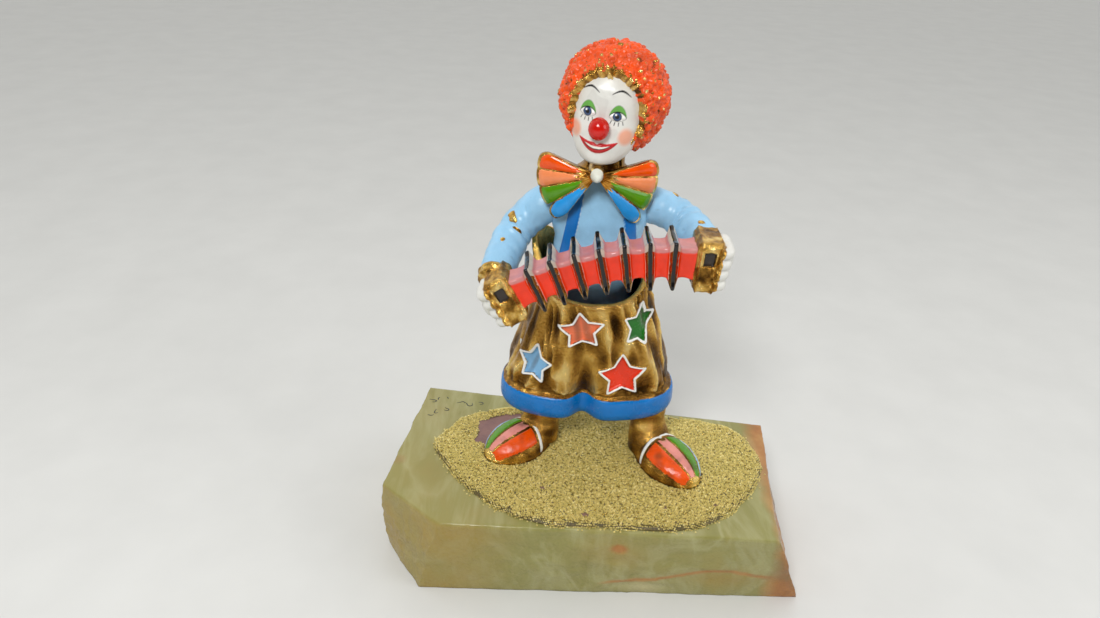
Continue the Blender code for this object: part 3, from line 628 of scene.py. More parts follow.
def onyx_look():
    """Pale green onyx: polished curved bands on top, rough orange-brown crust at places."""
    look = Look("onyx", Subsurface_Weight=0.12, Subsurface_Scale=0.004)
    look.shader.inputs["Subsurface Radius"].default_value = (0.9, 1.0, 0.6)
    bands = look.noise(34.0, 5.0, 0.5, (1.0, 0.28, 1.0), 1.4)
    streaks = look.noise(9.0, 4.0, 0.6, (1.0, 0.2, 0.5), 0.8)
    cloud = look.noise(22.0, 4.0, 0.55)
    fine = look.noise(1.3, 4.0, 0.6)
    stone = look.ramp(
        bands, (0.3, (134, 130, 70)), (0.44, (144, 140, 80)), (0.52, (160, 156, 104)),
        (0.58, (144, 140, 80)), (0.72, (152, 142, 76)),
    )
    pale = look.mix(look.span(streaks, 0.5, 0.74, 0.0, 0.4), stone, srgb((192, 188, 142)))
    cloudy = look.mix(look.span(cloud, 0.55, 0.75, 0.0, 0.4), pale, srgb((154, 136, 76)))
    crust = look.ramp(cloud, (0.35, (132, 76, 34)), (0.5, (172, 106, 50)), (0.66, (198, 148, 84)))
    rough = look.value("rough")
    clouded = look.math("ADD", look.value("stain"), look.span(cloud, 0.3, 0.7, -0.2, 0.2))
    stain = look.span(clouded, 0.3, 0.85, 0.0, 0.85)
    warm = look.math("MULTIPLY", look.value("amber"), look.span(cloud, 0.25, 0.6, 0.3, 0.9))
    cloudy = look.mix(warm, cloudy, srgb((158, 132, 62)))
    inclusion = look.math("MULTIPLY", look.value("cream"), look.span(cloud, 0.3, 0.6, 0.5, 1.0))
    cloudy = look.mix(inclusion, cloudy, srgb((196, 186, 140)))
    hewn = look.mix(look.span(fine, 0.35, 0.7, 0.0, 0.25), cloudy, srgb((170, 158, 104)))
    colour = look.mix(rough, cloudy, hewn)
    colour = look.mix(stain, colour, crust)
    gloss = look.span(fine, 0.3, 0.7, 0.12, 0.2)
    roughness = look.node("Mix", {0: rough, 2: gloss, 3: 0.24}).outputs[0]
    pits = look.math("MULTIPLY", fine, look.span(rough, 0.0, 1.0, 0.06, 1.0))
    return look.finish(Base_Color=colour, Roughness=roughness, Normal=look.bump(pits, 0.6))


def ink_look():
    look = Look("ink")
    blot = look.noise(1.5, 3.0)
    return look.finish(
        Base_Color=look.ramp(blot, (0.3, (16, 18, 16)), (0.7, (58, 62, 52))),
        Roughness=look.span(blot, 0.3, 0.7, 0.3, 0.5),
    )


def slab_spots(outline_points):
    return outline_points * (SLAB_SIZE[:2] / 2 / MM)


def metres(points):
    return np.asarray(points, float) * MM


def onyx_slab(look):
    """The slab in its own millimetres: a rough-hewn side under a polished top."""
    columns = 480
    tops = slab_spots(straight_loop(SLAB_TOP, columns))
    feet = slab_spots(straight_loop(SLAB_FOOT, columns))
    height = SLAB_SIZE[2] / MM
    rings, rough = [], []
    for share in np.concatenate([[0.0], np.linspace(0.02, 0.985, 34), [0.995]]):
        ring = feet + (tops - feet) * share
        spots = np.column_stack([ring, np.full(columns, share * height)])
        bulge = math.sin(math.pi * share)
        out = ring / np.linalg.norm(ring, axis=1)[:, None]
        hewn = HEWN_DEPTH * (layered(spots, 11.0, 2, 5) - np.abs(noise(spots, 5.0, 8)))
        hewn += CHIP_DEPTH * noise(spots, 1.6, 3)
        push = hewn * (0.35 + 0.65 * bulge) + SIDE_BULGE * bulge - EDGE_WEAR * smooth_step(0.97, 1.0, share)
        rings.append(np.column_stack([ring + out * push[:, None], spots[:, 2]]))
        rough.append(np.ones(columns) * (1 - smooth_step(0.96, 0.995, share)))
    edge = rings[-1]
    middle = edge.mean(0)
    for inward in np.concatenate([[0.006, 0.014], np.linspace(0.03, 0.97, 46)]):
        ring = edge + (middle - edge) * inward
        wave = TOP_WAVE * noise(ring, 26.0, 4) * smooth_step(0.0, 0.1, inward)
        ring[:, 2] = height - 0.25 + 0.2 * smooth_step(0.0, 0.014, inward) + wave
        rings.append(ring)
        rough.append(np.zeros(columns))
    grid = np.array(rings)
    rough = np.array(rough)
    for axis in range(2):
        low, high = grid[..., axis].min(), grid[..., axis].max()
        grid[..., axis] = (grid[..., axis] - (low + high) / 2) * (SLAB_SIZE[axis] / MM) / (high - low)
    x, y, z = np.moveaxis(grid, -1, 0)
    front = smooth_step(*SLAB_FRONT, y)
    right_edge = smooth_step(*RIGHT_STAIN, x) * 0.9
    vein_level = 5 + 9 * smooth_step(5, 45, x) + 1.5 * np.sin(x / 7)
    vein = hill(z, vein_level, 1.3) * front * smooth_step(0, 12, x) * 0.85
    corner = hill(np.hypot(x - CORNER_STAIN[0], y - CORNER_STAIN[1]), 0, CORNER_STAIN[2]) * 0.6
    spot = patch(x, z, ORANGE_SPOT) * front * 1.1
    left_end = smooth_step(-40, -74, x + 0.35 * y) * (0.35 + 0.65 * rough)
    yellow = sum(strength * patch(x, z, shape) for strength, shape in YELLOW_PATCHES)
    Form.from_grid(grid).piece(
        "onyx_slab", "onyx", look, "onyx_base", metres, rough=rough,
        stain=np.maximum.reduce([right_edge, vein, corner, spot]),
        amber=np.maximum(left_end, yellow * front), cream=patch(x, z, CREAM_PATCH) * front,
    )


def ink_strokes(look):
    """Rows of thin hooks and dashes that aren't letters, where the slab is inscribed."""
    rng = np.random.default_rng(5)
    top = SLAB_SIZE[2] / MM
    forms = []
    for start, end in STROKE_ROWS:
        for share in (0.12, 0.45, 0.8):
            middle = np.array(start) + (np.array(end) - np.array(start)) * share
            turn = rng.uniform(0, 2 * math.pi)
            sweep = rng.uniform(1.6, 4.0)
            radius = rng.uniform(1.3, 2.1)
            steps = np.linspace(0, sweep, 14)
            reach = radius * (1 + 0.35 * np.sin(2.3 * steps + turn))
            hook = np.column_stack([np.cos(turn + steps), 0.8 * np.sin(turn + steps)])
            spine = middle + hook * reach[:, None]
            ahead = np.gradient(spine, axis=0)
            ahead /= np.linalg.norm(ahead, axis=1)[:, None]
            side = np.column_stack([-ahead[:, 1], ahead[:, 0]])
            width = STROKE_HALF * np.sin(np.linspace(0.35, 2.9, len(steps)))
            ring = []
            for across, lift in ((-1, -0.1), (-0.6, 0.05), (0.6, 0.05), (1, -0.1)):
                flat = spine + side * (width * across)[:, None]
                ring.append(np.column_stack([flat, np.full(len(steps), top + lift)]))
            grid = np.array(ring).transpose(1, 0, 2).reshape(-1, 3)
            ends = [(3, 2, 1, 0), np.arange(len(grid) - 4, len(grid))]
            forms.append(Form(grid, np.vstack([grid_quads(len(steps), 4), ends])))
    Form.merged(forms).piece("ink_strokes", "onyx", look, "onyx_base", metres)


def plan_axes(plan):
    """A shoe's heel, its length, and the directions ahead and aside in plan."""
    heel, toe = np.array(plan[0]), np.array(plan[1])
    length = np.linalg.norm(toe - heel)
    ahead = (toe - heel) / length
    return heel, length, ahead, np.array([-ahead[1], ahead[0]])


def shoe_half(run):
    """A shoe's half width at a share of its length from the heel."""
    swell = np.clip(np.sin(np.clip(run, 0, 1) * math.pi / 2 / SHOE_BALL_AT), 0, 1) ** SHOE_SWELL
    return SHOE_HEEL_HALF + (SHOE_BALL_HALF - SHOE_HEEL_HALF) * swell


def shoe_outline(plan, spread, pull, count):
    """A shoe's outline in plan; pull draws it in towards the ball as the upper closes."""
    heel, length, ahead, side = plan_axes(plan)
    angle = 2 * math.pi * np.arange(count) / count
    run = 0.5 - 0.5 * np.cos(angle)
    reach = (run - 0.5) * (1 - pull) + 0.5 - UPPER_CENTRE * pull
    along = reach * length - np.cos(angle) * spread
    across = np.sin(angle) * (shoe_half(run) * (1 - pull) + spread)
    return heel + along[:, None] * ahead + across[:, None] * side


def bare_glue(x, y):
    """Distance to the patches that have lost their beads, negative inside them."""
    spots = np.column_stack([x, y, np.zeros(len(x))])
    far = outline_distance(x, y, np.array(BARE_PATCH, float))
    for bare_x, bare_y, radius in BARE_SPOTS:
        far = np.minimum(far, np.hypot(x - bare_x, (y - bare_y) * 1.6) - radius)
    return far + 0.8 * noise(spots, 3.0, 9)


def bed_glue(look):
    """The sheet of glue on the slab, in the slab's own millimetres."""
    columns = 300
    top = SLAB_SIZE[2] / MM
    rim = slab_spots(smooth_loop(BED_OUTLINE, columns))
    middle = slab_spots(smooth_loop(BED_OUTLINE, BED_STEPS)).mean(0)
    rings = []
    for inward, level in ((0.035, -0.1), (0.01, 0.1), (0.012, 0.5), (0.03, 1.1)):
        rings.append(np.column_stack([rim + (middle - rim) * inward, np.full(columns, top + level)]))
    for inward in np.linspace(0.045, 0.985, 60):
        ring = np.column_stack([rim + (middle - rim) * inward, np.full(columns, top + GLUE_THICKNESS)])
        ring[:, 2] += 0.16 * layered(ring, 5.0, 2, 31)
        rings.append(ring)
    x, y, _ = np.array(rings).reshape(-1, 3).T
    bare = smooth_step(0.6, -0.3, bare_glue(x, y))
    Form.from_grid(np.array(rings)).piece("bed_glue", "gold_beads", look, "bead_bed", metres, bare=bare)


def bead_shape():
    """A bead of radius 1 that is cut off below: its points, quads and triangles."""
    angles = 2 * math.pi * np.arange(6) / 6
    ring = np.column_stack([np.cos(angles), np.sin(angles)])
    low = np.column_stack([ring * 0.98, np.full(6, -0.2)])
    high = np.column_stack([ring * 0.82, np.full(6, 0.55)])
    j = np.arange(6)
    k = (j + 1) % 6
    quads = np.stack([j, k, k + 6, j + 6], -1)
    return np.vstack([low, high, [[0, 0, 1.0]]]), quads, np.stack([j + 6, k + 6, np.full(6, 12)], -1)


def beads(look):
    """Thousands of tiny beads, pressed into the glue in rough rows."""
    outline = slab_spots(smooth_loop(BED_OUTLINE, BED_STEPS))
    top = SLAB_SIZE[2] / MM
    rng = np.random.default_rng(11)
    low, high = outline.min(0) - 2, outline.max(0) + 2
    spots = []
    for i, y in enumerate(np.arange(low[1], high[1], BEAD_PITCH * math.sqrt(3) / 2)):
        x = np.arange(low[0] + (i % 2) * BEAD_PITCH / 2, high[0], BEAD_PITCH)
        spots.append(np.column_stack([x, np.full(len(x), y)]))
    spots = np.vstack(spots)
    spots += rng.uniform(-0.17, 0.17, spots.shape)
    chance = rng.uniform(0, 1, len(spots))
    x, y = spots.T
    ragged = outline_distance(x, y, outline) + 0.9 * noise(np.column_stack([spots, 0 * x]), 4.0, 21)
    strays = (ragged < 1.6) & (ragged > 0) & (chance < STRAY_SHARE)
    keep = (ragged < 0.0) & (chance > 0.015) | strays
    for plan in (LEFT_SHOE, RIGHT_SHOE):
        keep &= outline_distance(x, y, shoe_outline(plan, 0.1, 0.0, 40) + FOOT[:2] / MM) > BEAD_CLEARANCE
    keep &= bare_glue(x, y) > 0
    spots, ragged, chance = spots[keep], ragged[keep], chance[keep]
    size = rng.uniform(*BEAD_RADIUS, len(spots))
    level = top - 0.05 + 1.62 * smooth_step(0.2, -2.4, ragged)
    level += 0.12 * noise(np.column_stack([spots, size]), 5.0, 2)
    level += np.where(chance > 0.9, 0.32, 0.0) * smooth_step(0, -2, ragged)
    template, quads, triangles = bead_shape()
    tone = np.clip(0.56 + 0.16 * rng.standard_normal(len(spots)), 0, 1)
    for name, chosen in (("beads_left", spots[:, 0] < 3), ("beads_right", spots[:, 0] >= 3)):
        centres = np.column_stack([spots[chosen], level[chosen]])
        points = template[None] * size[chosen][:, None, None] + centres[:, None]
        starts = np.arange(len(centres))[:, None, None] * len(template)
        form = Form(points.reshape(-1, 3), quads + starts, (triangles + starts).reshape(-1, 3))
        tones = np.repeat(tone[chosen], len(template))
        form.piece(name, "gold_beads", look, "bead_bed", metres, tone=tones)


def lobe_share(angle):
    return hill(np.degrees(angle) % 360, RIM_LOBE[0], RIM_LOBE[1])


def rim_level(angle):
    return RIM_FRONT + (RIM_BACK - RIM_FRONT) * (0.5 + 0.5 * np.sin(angle)) + RIM_LOBE[2] * lobe_share(angle)


def trouser_surface(angle, level, inset, detail=0.0):
    """The trousers' cloth, with the legs' cleft at front and back."""
    half_width = smooth_curve(TROUSER_SHAPE, 1, level)
    half_depth = smooth_curve(TROUSER_SHAPE, 2, level)
    climb = (level - HEM_TOP) / FOLD_SLANT
    ridge = 0.0
    for count, slant, height, start in CLOTH_FOLDS:
        ridge = ridge + height * np.sin(count * angle + slant * climb + start)
    swell = np.sin(math.pi * np.clip((level - HEM_TOP) / (RIM_FRONT - HEM_TOP), 0, 1)) ** 0.5
    flare = np.clip((level - RIM_FRONT) / (rim_level(angle) - RIM_FRONT), 0, 1)
    out = ridge * swell + RIM_LOBE[3] * lobe_share(angle) * flare - inset + detail
    cos, sin = np.cos(angle), np.sin(angle)
    x = power(cos, TROUSER_SQUARENESS) * (half_width + out)
    y = power(sin, TROUSER_SQUARENESS) * (half_depth + out)
    centre, width, depth = LEG_CLEFT
    fade = np.clip((CLEFT_TOP - level) / CLEFT_FADE, 0, 1)
    y = y - depth * fade * hill(x, centre, width) * sin
    return np.stack([x, y - TROUSER_FORWARD, np.broadcast_to(level, x.shape)], -1)


def star_outline(star):
    x, z, half_width, half_height, turn = star[:5]
    k = np.arange(10)
    angle = math.radians(turn) + math.pi / 2 + math.pi * k / 5
    reach = np.where(k % 2, STAR_WAIST, 1)
    return np.column_stack([x + half_width * reach * np.cos(angle), z + half_height * reach * np.sin(angle)])


def crease_field(angle, level):
    """Long creases that fan down the cloth: sharp ridges and soft valleys, in millimetres."""
    run = angle * 24 + 2.2 * np.sin(level / 13.0)
    spots = np.stack([run / 6.5, level / 34.0, np.zeros_like(run)], -1)
    broad = 1 - 2 * np.abs(noise(spots, 1.0, 41))
    spots = np.stack([(run + 0.12 * level) / 3.0, level / 17.0, np.ones_like(run)], -1)
    narrow = 1 - 2 * np.abs(noise(spots, 1.0, 57))
    return 1.2 * broad + 0.75 * narrow


def star_field(base, angle):
    """How far each point lies from the nearest star, and the cloth's colours with the stars in."""
    x, z = base[..., 0], base[..., 2]
    front = np.sin(angle) < -0.1
    star = np.full(x.shape, FAR)
    paint = np.broadcast_to(srgb(HEM_BLUE), base.shape).copy()
    for one in STARS:
        near = front & (np.hypot((x - one[0]) / (one[2] + 3), (z - one[1]) / (one[3] + 3)) < 1.2)
        found = outline_distance(x[near], z[near], star_outline(one)) - STAR_GROW
        closer = found < star[near]
        star[near] = np.where(closer, found, star[near])
        paint[near] = np.where((closer & (found < 2))[:, None], srgb(one[5]), paint[near])
    return star, paint


def trousers(look):
    """The flared cloth with its stars, the waistband's lip, the lining, near black as dark paint and painted
    shade, and the hem's underside.
    """
    columns = 420
    angles = front_angles(columns)
    rim = rim_level(angles)
    shares = np.concatenate([[0, 0.012, 0.03], np.linspace(0.05, 0.19, 16), np.linspace(0.196, 1.0, 132)])
    level = HEM_FOOT + shares[:, None] * (rim - HEM_FOOT)[None]
    angle = np.broadcast_to(angles, level.shape)
    base = trouser_surface(angle, level, 0.0)
    above = smooth_step(HEM_TOP + 0.2, HEM_TOP + 3, level)
    creases = crease_field(angle, level) * above
    fine = layered(base, 2.4, 2, 13) * 0.16 * above
    pebbles = np.maximum(noise(base, 1.5, 71), -0.2) * 0.5 * hill(level, HEM_TOP + 2.2, 2.4)
    detail = creases + fine + pebbles * above
    hem = smooth_step(HEM_TOP + 0.4, HEM_TOP - 0.6, level)
    detail += hem * (0.25 * noise(base, 9.0, 3) + 0.3)
    star, paint = star_field(base, angle)
    calm = smooth_step(-0.2, 1.8, star)
    detail = detail * calm + (1 - calm) * 0.35
    detail += 0.95 * smooth_step(STAR_RIM + 0.45, STAR_RIM - 0.35, np.abs(star))
    detail -= 0.55 * smooth_step(-STAR_RIM, -STAR_RIM - 0.5, star)
    detail += 0.5 * smooth_step(2.2, 0.0, rim[None] - level) * above
    outer = trouser_surface(angle, level, 0.0, detail)

    # Patina and painted shade: dark gold down the creases' hollows and in the legs' cleft, bright on the
    # ridges and the pebbles.
    grime = np.clip(0.68 - 0.36 * creases + 0.2 * layered(base, 9.0, 2, 6) - 0.9 * pebbles, 0.05, 0.95)
    cleft = 0.85 * hill(base[..., 0], LEG_CLEFT[0], 3.5) * smooth_step(62, 40, level)
    grime = np.maximum(grime, cleft * above)
    grime = np.where(level < HEM_TOP, 0.2, grime)
    edge = np.minimum(star + STAR_RIM, level - HEM_TOP)
    band = np.where(star < FAR, np.abs(star) - STAR_RIM, FAR)

    lip = []
    for turn in np.linspace(0, math.pi, 7)[1:]:
        inset = CLOTH_THICKNESS / 2 * (1 - math.cos(turn))
        height = rim + 0.75 * math.sin(turn)
        lip.append(trouser_surface(angles, height, inset, 0.5 * (1 + math.cos(turn)) / 2))
    inner = []
    for share in np.linspace(0.97, 0.0, 40):
        height = WAIST_FLOOR + share * (rim - WAIST_FLOOR)
        spots = np.column_stack([base[0][:, :2], height])
        crumple = 0.3 * noise(spots, 6.0, 2) + 0.7 * np.abs(noise(spots, 3.2, 5)) * lobe_share(angles)
        inner.append(trouser_surface(angles, height, CLOTH_THICKNESS, crumple * share))
    floor = inner[-1].mean(0)
    inner += [inner[-1] + (floor - inner[-1]) * share for share in (0.1, 0.4, 0.8)]
    hem_rings = ((HEM_ROOF, 2), (HEM_FOOT + 1.5, 1.5), (HEM_FOOT, 1), (HEM_FOOT - 0.1, 0.5))
    under = [
        trouser_surface(angles, np.full(columns, at), inset * CLOTH_THICKNESS) for at, inset in hem_rings
    ]
    grid = np.concatenate([under, outer, lip, inner])

    def rows(count, value):
        return np.full((count, columns) + np.shape(value), value)

    inside, lips = len(inner), len(lip)
    gold_lining = (lobe_share(angles) > 0.2) & (np.arange(inside)[:, None] < 26)
    lining = np.where(gold_lining, 1.0, -1.0)
    Form.from_grid(grid).piece(
        "trousers", "gold_plate", look,
        paint=np.concatenate([rows(4, srgb(HEM_BLUE)), paint, rows(lips + inside, srgb(WAIST_SHADE_DARK))]),
        edge=np.concatenate([rows(2, 1.0), rows(2, -1.0), edge, rows(lips, 1.0), lining]),
        rim=np.concatenate([rows(4, FAR), band, rows(lips + inside, FAR)]),
        grime=np.concatenate([rows(2, 0.9), rows(2, 0.2), grime, rows(lips, 0.28), rows(inside, 0.12)]),
    )


def shirt(look):
    """The body in its shirt: raised braces, soft folds under the arms, gold at the neck."""
    columns, count = 200, 112
    angles = front_angles(columns, 0.3)
    level = np.linspace(WAIST_FLOOR - 1, 140.5, count)[:, None]
    x, y, half_width, half_depth = (smooth_curve(TORSO_SHAPE, k, level) for k in (1, 2, 3, 4))
    cos, sin = power(np.cos(angles), TORSO_SQUARENESS), power(np.sin(angles), TORSO_SQUARENESS)
    base = np.stack([x + half_width * cos, y + half_depth * sin, level + 0 * cos], -1)
    x, z = base[..., 0], base[..., 2]
    strap = np.full(x.shape, FAR)
    for top_x, low_x in BRACES:
        centre = low_x + (top_x - low_x) * (z - 84) / 40
        strap = np.minimum(strap, np.abs(x - centre) - BRACE_HALF)
    out = 0.5 * smooth_step(0.35, -0.1, strap)
    out += 0.3 * layered(base, 8.0, 3, 19) * smooth_step(-0.3, 1.2, strap)
    out -= 0.45 * smooth_step(0.5, 0.0, np.abs(strap)) * smooth_step(0.6, 0.2, strap)
    folds = np.sin(z * 0.55 + 3 * noise(base, 14.0, 4)) * smooth_step(9, 16, np.abs(x)) * 0.35
    out += folds * smooth_step(0, 1.5, strap)
    # A pale line along both edges of the left brace only: a painted highlight.
    Form.from_grid(base + np.stack([cos * out, sin * out, np.zeros_like(out)], -1)).piece(
        "shirt", "blue_enamel", look, paint=np.where((strap < 0)[..., None], srgb(ROYAL), srgb(SKY)),
        edge=np.maximum(z - 128.5, -3.0), rim=np.where(x < 0, np.abs(strap - 0.1) - 0.16, FAR),
        grime=0.3 - 0.5 * folds + 0.25 * smooth_step(126, 131, z),
    )


def tube_grid(route, rings, sides):
    """A round limb along a route of x, y, z and radius: ring centres, axes and angles."""
    path = smooth_path(route, rings)
    centres, radii = path[:, :3], path[:, 3]
    ahead = np.gradient(centres, axis=0)
    ahead /= np.linalg.norm(ahead, axis=1)[:, None]
    side = np.cross(ahead, (0, 0, 1))
    side /= np.linalg.norm(side, axis=1)[:, None]
    lift = np.cross(side, ahead)
    angles = 2 * math.pi * np.arange(sides) / sides
    out = side[:, None] * np.cos(angles)[None, :, None] + lift[:, None] * np.sin(angles)[None, :, None]
    return centres, radii, out, angles


def sleeve(name, route, chips, look):
    """A sleeve with creases at the elbow, worn to the gold at its chips, with a gold cuff."""
    centres, radii, out, angles = tube_grid(route, 130, 84)
    length = length_along(centres)
    run = np.broadcast_to(length[:, None], out.shape[:2])
    base = centres[:, None] + out * radii[:, None, None]
    cuff_at = length[-1] - CUFF_LENGTH
    elbow = hill(run, ELBOW_AT * length[-1], 9.0)
    wave = np.sin(run * 1.15 + 2.6 * noise(base, 11.0, 7) + np.sin(angles) * 1.5)
    push = 0.2 * wave * (0.2 + elbow) + 0.3 * layered(base, 9.0, 3, 23)
    push += 0.8 * hill(run, cuff_at + CUFF_STEP, 0.9)
    push += smooth_step(cuff_at - 0.3, cuff_at + 0.3, run) * 0.4 * noise(base, 1.4, 9)
    chip = np.full(run.shape, FAR)
    for share, turn, size in chips:
        far = np.hypot(run - share * length[-1], np.angle(np.exp(1j * (angles - math.radians(turn)))) * 6.5)
        chip = np.minimum(chip, far + 0.9 * noise(base, 1.7, 15) - size)
    push += 0.25 * smooth_step(0.5, -0.3, chip)
    Form.from_grid(base + out * push[..., None]).piece(
        name, "blue_enamel", look, paint=srgb(SKY), edge=np.maximum(-chip, run - cuff_at),
        grime=0.35 + 0.25 * noise(base, 1.6, 3) - 0.1 * wave,
    )


def bellows_arc():
    """Circle through both box centres with the arch's rise: centre, radius, start and length."""
    left, right = (np.array([box[0], box[2]]) for box in (LEFT_BOX, RIGHT_BOX))
    half = np.linalg.norm(right - left) / 2
    radius = (half * half + ARCH_RISE * ARCH_RISE) / (2 * ARCH_RISE)
    ahead = (right - left) / (2 * half)
    centre = (left + right) / 2 - np.array([-ahead[1], ahead[0]]) * (radius - ARCH_RISE)
    first, last = (math.atan2(end[1] - centre[1], end[0] - centre[0]) for end in (left, right))
    return centre, radius, first, (first - last) * radius


ARC_CENTRE, ARC_RADIUS, ARC_START, ARC_LENGTH = bellows_arc()


def on_arc(run, deep, lift):
    angle = ARC_START - run / ARC_RADIUS
    reach = ARC_RADIUS + lift
    x = ARC_CENTRE[0] + reach * np.cos(angle)
    z = ARC_CENTRE[1] + reach * np.sin(angle)
    return np.stack([x, LEFT_BOX[1] + deep + 0 * x, z], -1)


def section(count, half_deep, half_high, corner):
    """A rectangle with rounded corners, read at even steps: depth and lift."""
    spots = []
    for deep, high, start in ((1, 1, 0), (-1, 1, 90), (-1, -1, 180), (1, -1, 270)):
        for turn in np.linspace(0, 90, 7):
            angle = math.radians(start + turn)
            middle = (deep * (half_deep - corner), high * (half_high - corner))
            spots.append((middle[0] + corner * math.cos(angle), middle[1] + corner * math.sin(angle)))
    closed = np.array(spots + spots[:1])
    length = length_along(closed)
    at = np.arange(count) * length[-1] / count
    return np.column_stack([np.interp(at, length, closed[:, k]) for k in (0, 1)])


def bellows(look):
    """The arched bellows: folded panels with a black rib and beige flanks between each two."""
    start = BOX_HALF[0] - BELLOWS_SEAT
    pitch = (ARC_LENGTH - 2 * start) / PANELS
    foot = RIB_HALF + FLANK
    fold = np.array([-run for run in RIB_RUNS[::-1]] + [0.0, *RIB_RUNS])
    runs = []
    for panel in range(PANELS):
        first, last = panel == 0, panel == PANELS - 1
        low = start + panel * pitch + (0 if first else foot)
        high = start + (panel + 1) * pitch - (0 if last else foot)
        runs.append(np.linspace(low, high, 12)[(0 if first else 1):(None if last else -1)])
        if not last:
            runs.append(start + (panel + 1) * pitch + fold)
    runs = np.concatenate(runs)
    nearest = np.clip(np.round((runs - start) / pitch), 1, PANELS - 1)
    away = np.abs(runs - start - nearest * pitch)
    rise = np.clip((foot - away) / FLANK, 0, 1)
    columns = 132
    ring = section(columns, *BELLOWS_HALF, BELLOWS_CORNER)
    corner = np.prod(smooth_step(0.62, 0.98, np.abs(ring) / BELLOWS_HALF), axis=1)
    unit = ring / np.linalg.norm(ring, axis=1)[:, None]
    sag = 1.1 * np.sin(math.pi * np.clip((runs - start) / pitch % 1, 0, 1))
    rows = []
    for run, up, droop, gap in zip(runs, rise, sag, away):
        shares = 1 - FOLD_DEPTH * (1 - up) / np.array(BELLOWS_HALF)
        round_rib = 0.35 * math.sqrt(max(0.0, 1 - (gap / RIB_HALF) ** 2))
        tip = 1.5 * up ** 1.5 * corner
        spots = ring * shares + unit * (round_rib + tip - droop * (1 - up))[:, None]
        rows.append(on_arc(np.full(columns, run), *spots.T))
    grid = np.array(rows)
    grid += 0.12 * layered(grid, 3.0, 2, 5)[..., None]
    deep, lift = (np.broadcast_to(ring[:, k], grid.shape[:2]) for k in (0, 1))
    high = BELLOWS_HALF[1]
    # The top faces turn a paler pink: a painted sheen where light catches them.
    top = smooth_step(high - 2.7, high - 1.7, lift + 0.25 * noise(grid, 1.5, 3))
    gap = np.broadcast_to(away[:, None], grid.shape[:2])
    rib = gap <= RIB_HALF + 0.05
    flank = (gap < foot - 0.5) & ~rib
    paint = srgb(BELLOWS_RED) * (1 - top[..., None]) + srgb(TOP_SHEEN_PINK) * top[..., None]
    paint = np.where(flank[..., None], srgb(BEIGE), paint)
    ragged = 0.5 * noise(grid, 1.2, 8)
    gold = np.where(flank & (top < 0.5) & (deep < 2), 0.9 - 0.8 * (gap - RIB_HALF) - ragged, -1.0)
    Form.from_grid(grid).piece(
        "bellows", "orange_enamel", look, paint=np.where(rib[..., None], srgb(BLACK), paint),
        edge=np.where(rib, -1.0, gold), grime=np.where(flank, 0.5 + 0.3 * ragged, 0.1),
    )


def end_box(name, run, side, look):
    """A gold end box of the concertina with a dark recess in its front."""
    half_long, half_deep, half_high = BOX_HALF
    columns = 168
    ring = section(columns, half_deep, half_high, BOX_CORNER)
    unit = ring / np.linalg.norm(ring, axis=1)[:, None]
    front = ring[:, 0] < -half_deep + 0.6
    level, hollow_high, hollow_long = BOX_HOLLOW
    ends = np.array([0.72, 0.8, 0.9, 0.97, 1.0])
    rows, hollow = [], []
    for offset in np.concatenate([-ends[::-1], np.linspace(-0.66, 0.66, 34), ends]):
        sink = 1.5 * smooth_step(0.7, 1.0, abs(offset)) - 0.35 * hill(abs(offset), 0.72, 0.07)
        spots = ring - unit * sink
        local = offset * half_long
        beside = np.abs(local + side * 0.3) - hollow_long
        inside = np.maximum(np.abs(ring[:, 1] - level) - hollow_high, beside)
        cut = np.where(front, smooth_step(0.25, -0.25, inside), 0.0)
        spots[:, 0] += 1.5 * cut
        hollow.append(cut)
        rows.append(on_arc(np.full(columns, run + local), *spots.T))
    grid = np.array(rows)
    hollow = np.array(hollow)
    grid += BOX_DENT * (layered(grid, 2.6, 3, 12) * (1 - hollow))[..., None]
    Form.from_grid(grid).piece(
        name, "gold_plate", look, paint=srgb((44, 34, 26)), edge=0.6 - 1.2 * hollow,
        grime=0.42 + 0.4 * layered(grid, 3.0, 2, 4),
    )


def egg(centre, half, rings=16, sides=24):
    """An egg's grid of rings, open by a hair at both poles."""
    rise = np.linspace(-math.pi / 2 + 0.12, math.pi / 2 - 0.12, rings)[:, None]
    turn = 2 * math.pi * np.arange(sides) / sides
    unit = [np.cos(rise) * np.cos(turn), np.cos(rise) * np.sin(turn), np.sin(rise) + 0 * turn]
    return np.stack(unit, -1) * half + np.array(centre)


def fused(name, grids, voxel, smoothing):
    """Closed forms in figure millimetres melted into one skin: its points and faces."""
    mesh = Form.merged([Form.from_grid(grid).face_outward() for grid in grids]).mesh(name + "_rough")
    rough = bpy.data.objects.new(name + "_rough", mesh)
    bpy.context.collection.objects.link(rough)
    remesh = rough.modifiers.new("melt", "REMESH")
    remesh.mode = "VOXEL"
    remesh.voxel_size = voxel * U
    rough.modifiers.new("soften", "SMOOTH").iterations = smoothing
    skin = bpy.data.meshes.new_from_object(rough.evaluated_get(bpy.context.evaluated_depsgraph_get()))
    bpy.data.objects.remove(rough, do_unlink=True)
    bpy.data.meshes.remove(mesh)
    spots = np.empty(len(skin.vertices) * 3)
    skin.vertices.foreach_get("co", spots)
    quads = np.array([list(face.vertices) for face in skin.polygons])
    bpy.data.meshes.remove(skin)
    return Form((spots.reshape(-1, 3) - FOOT) / U, quads)


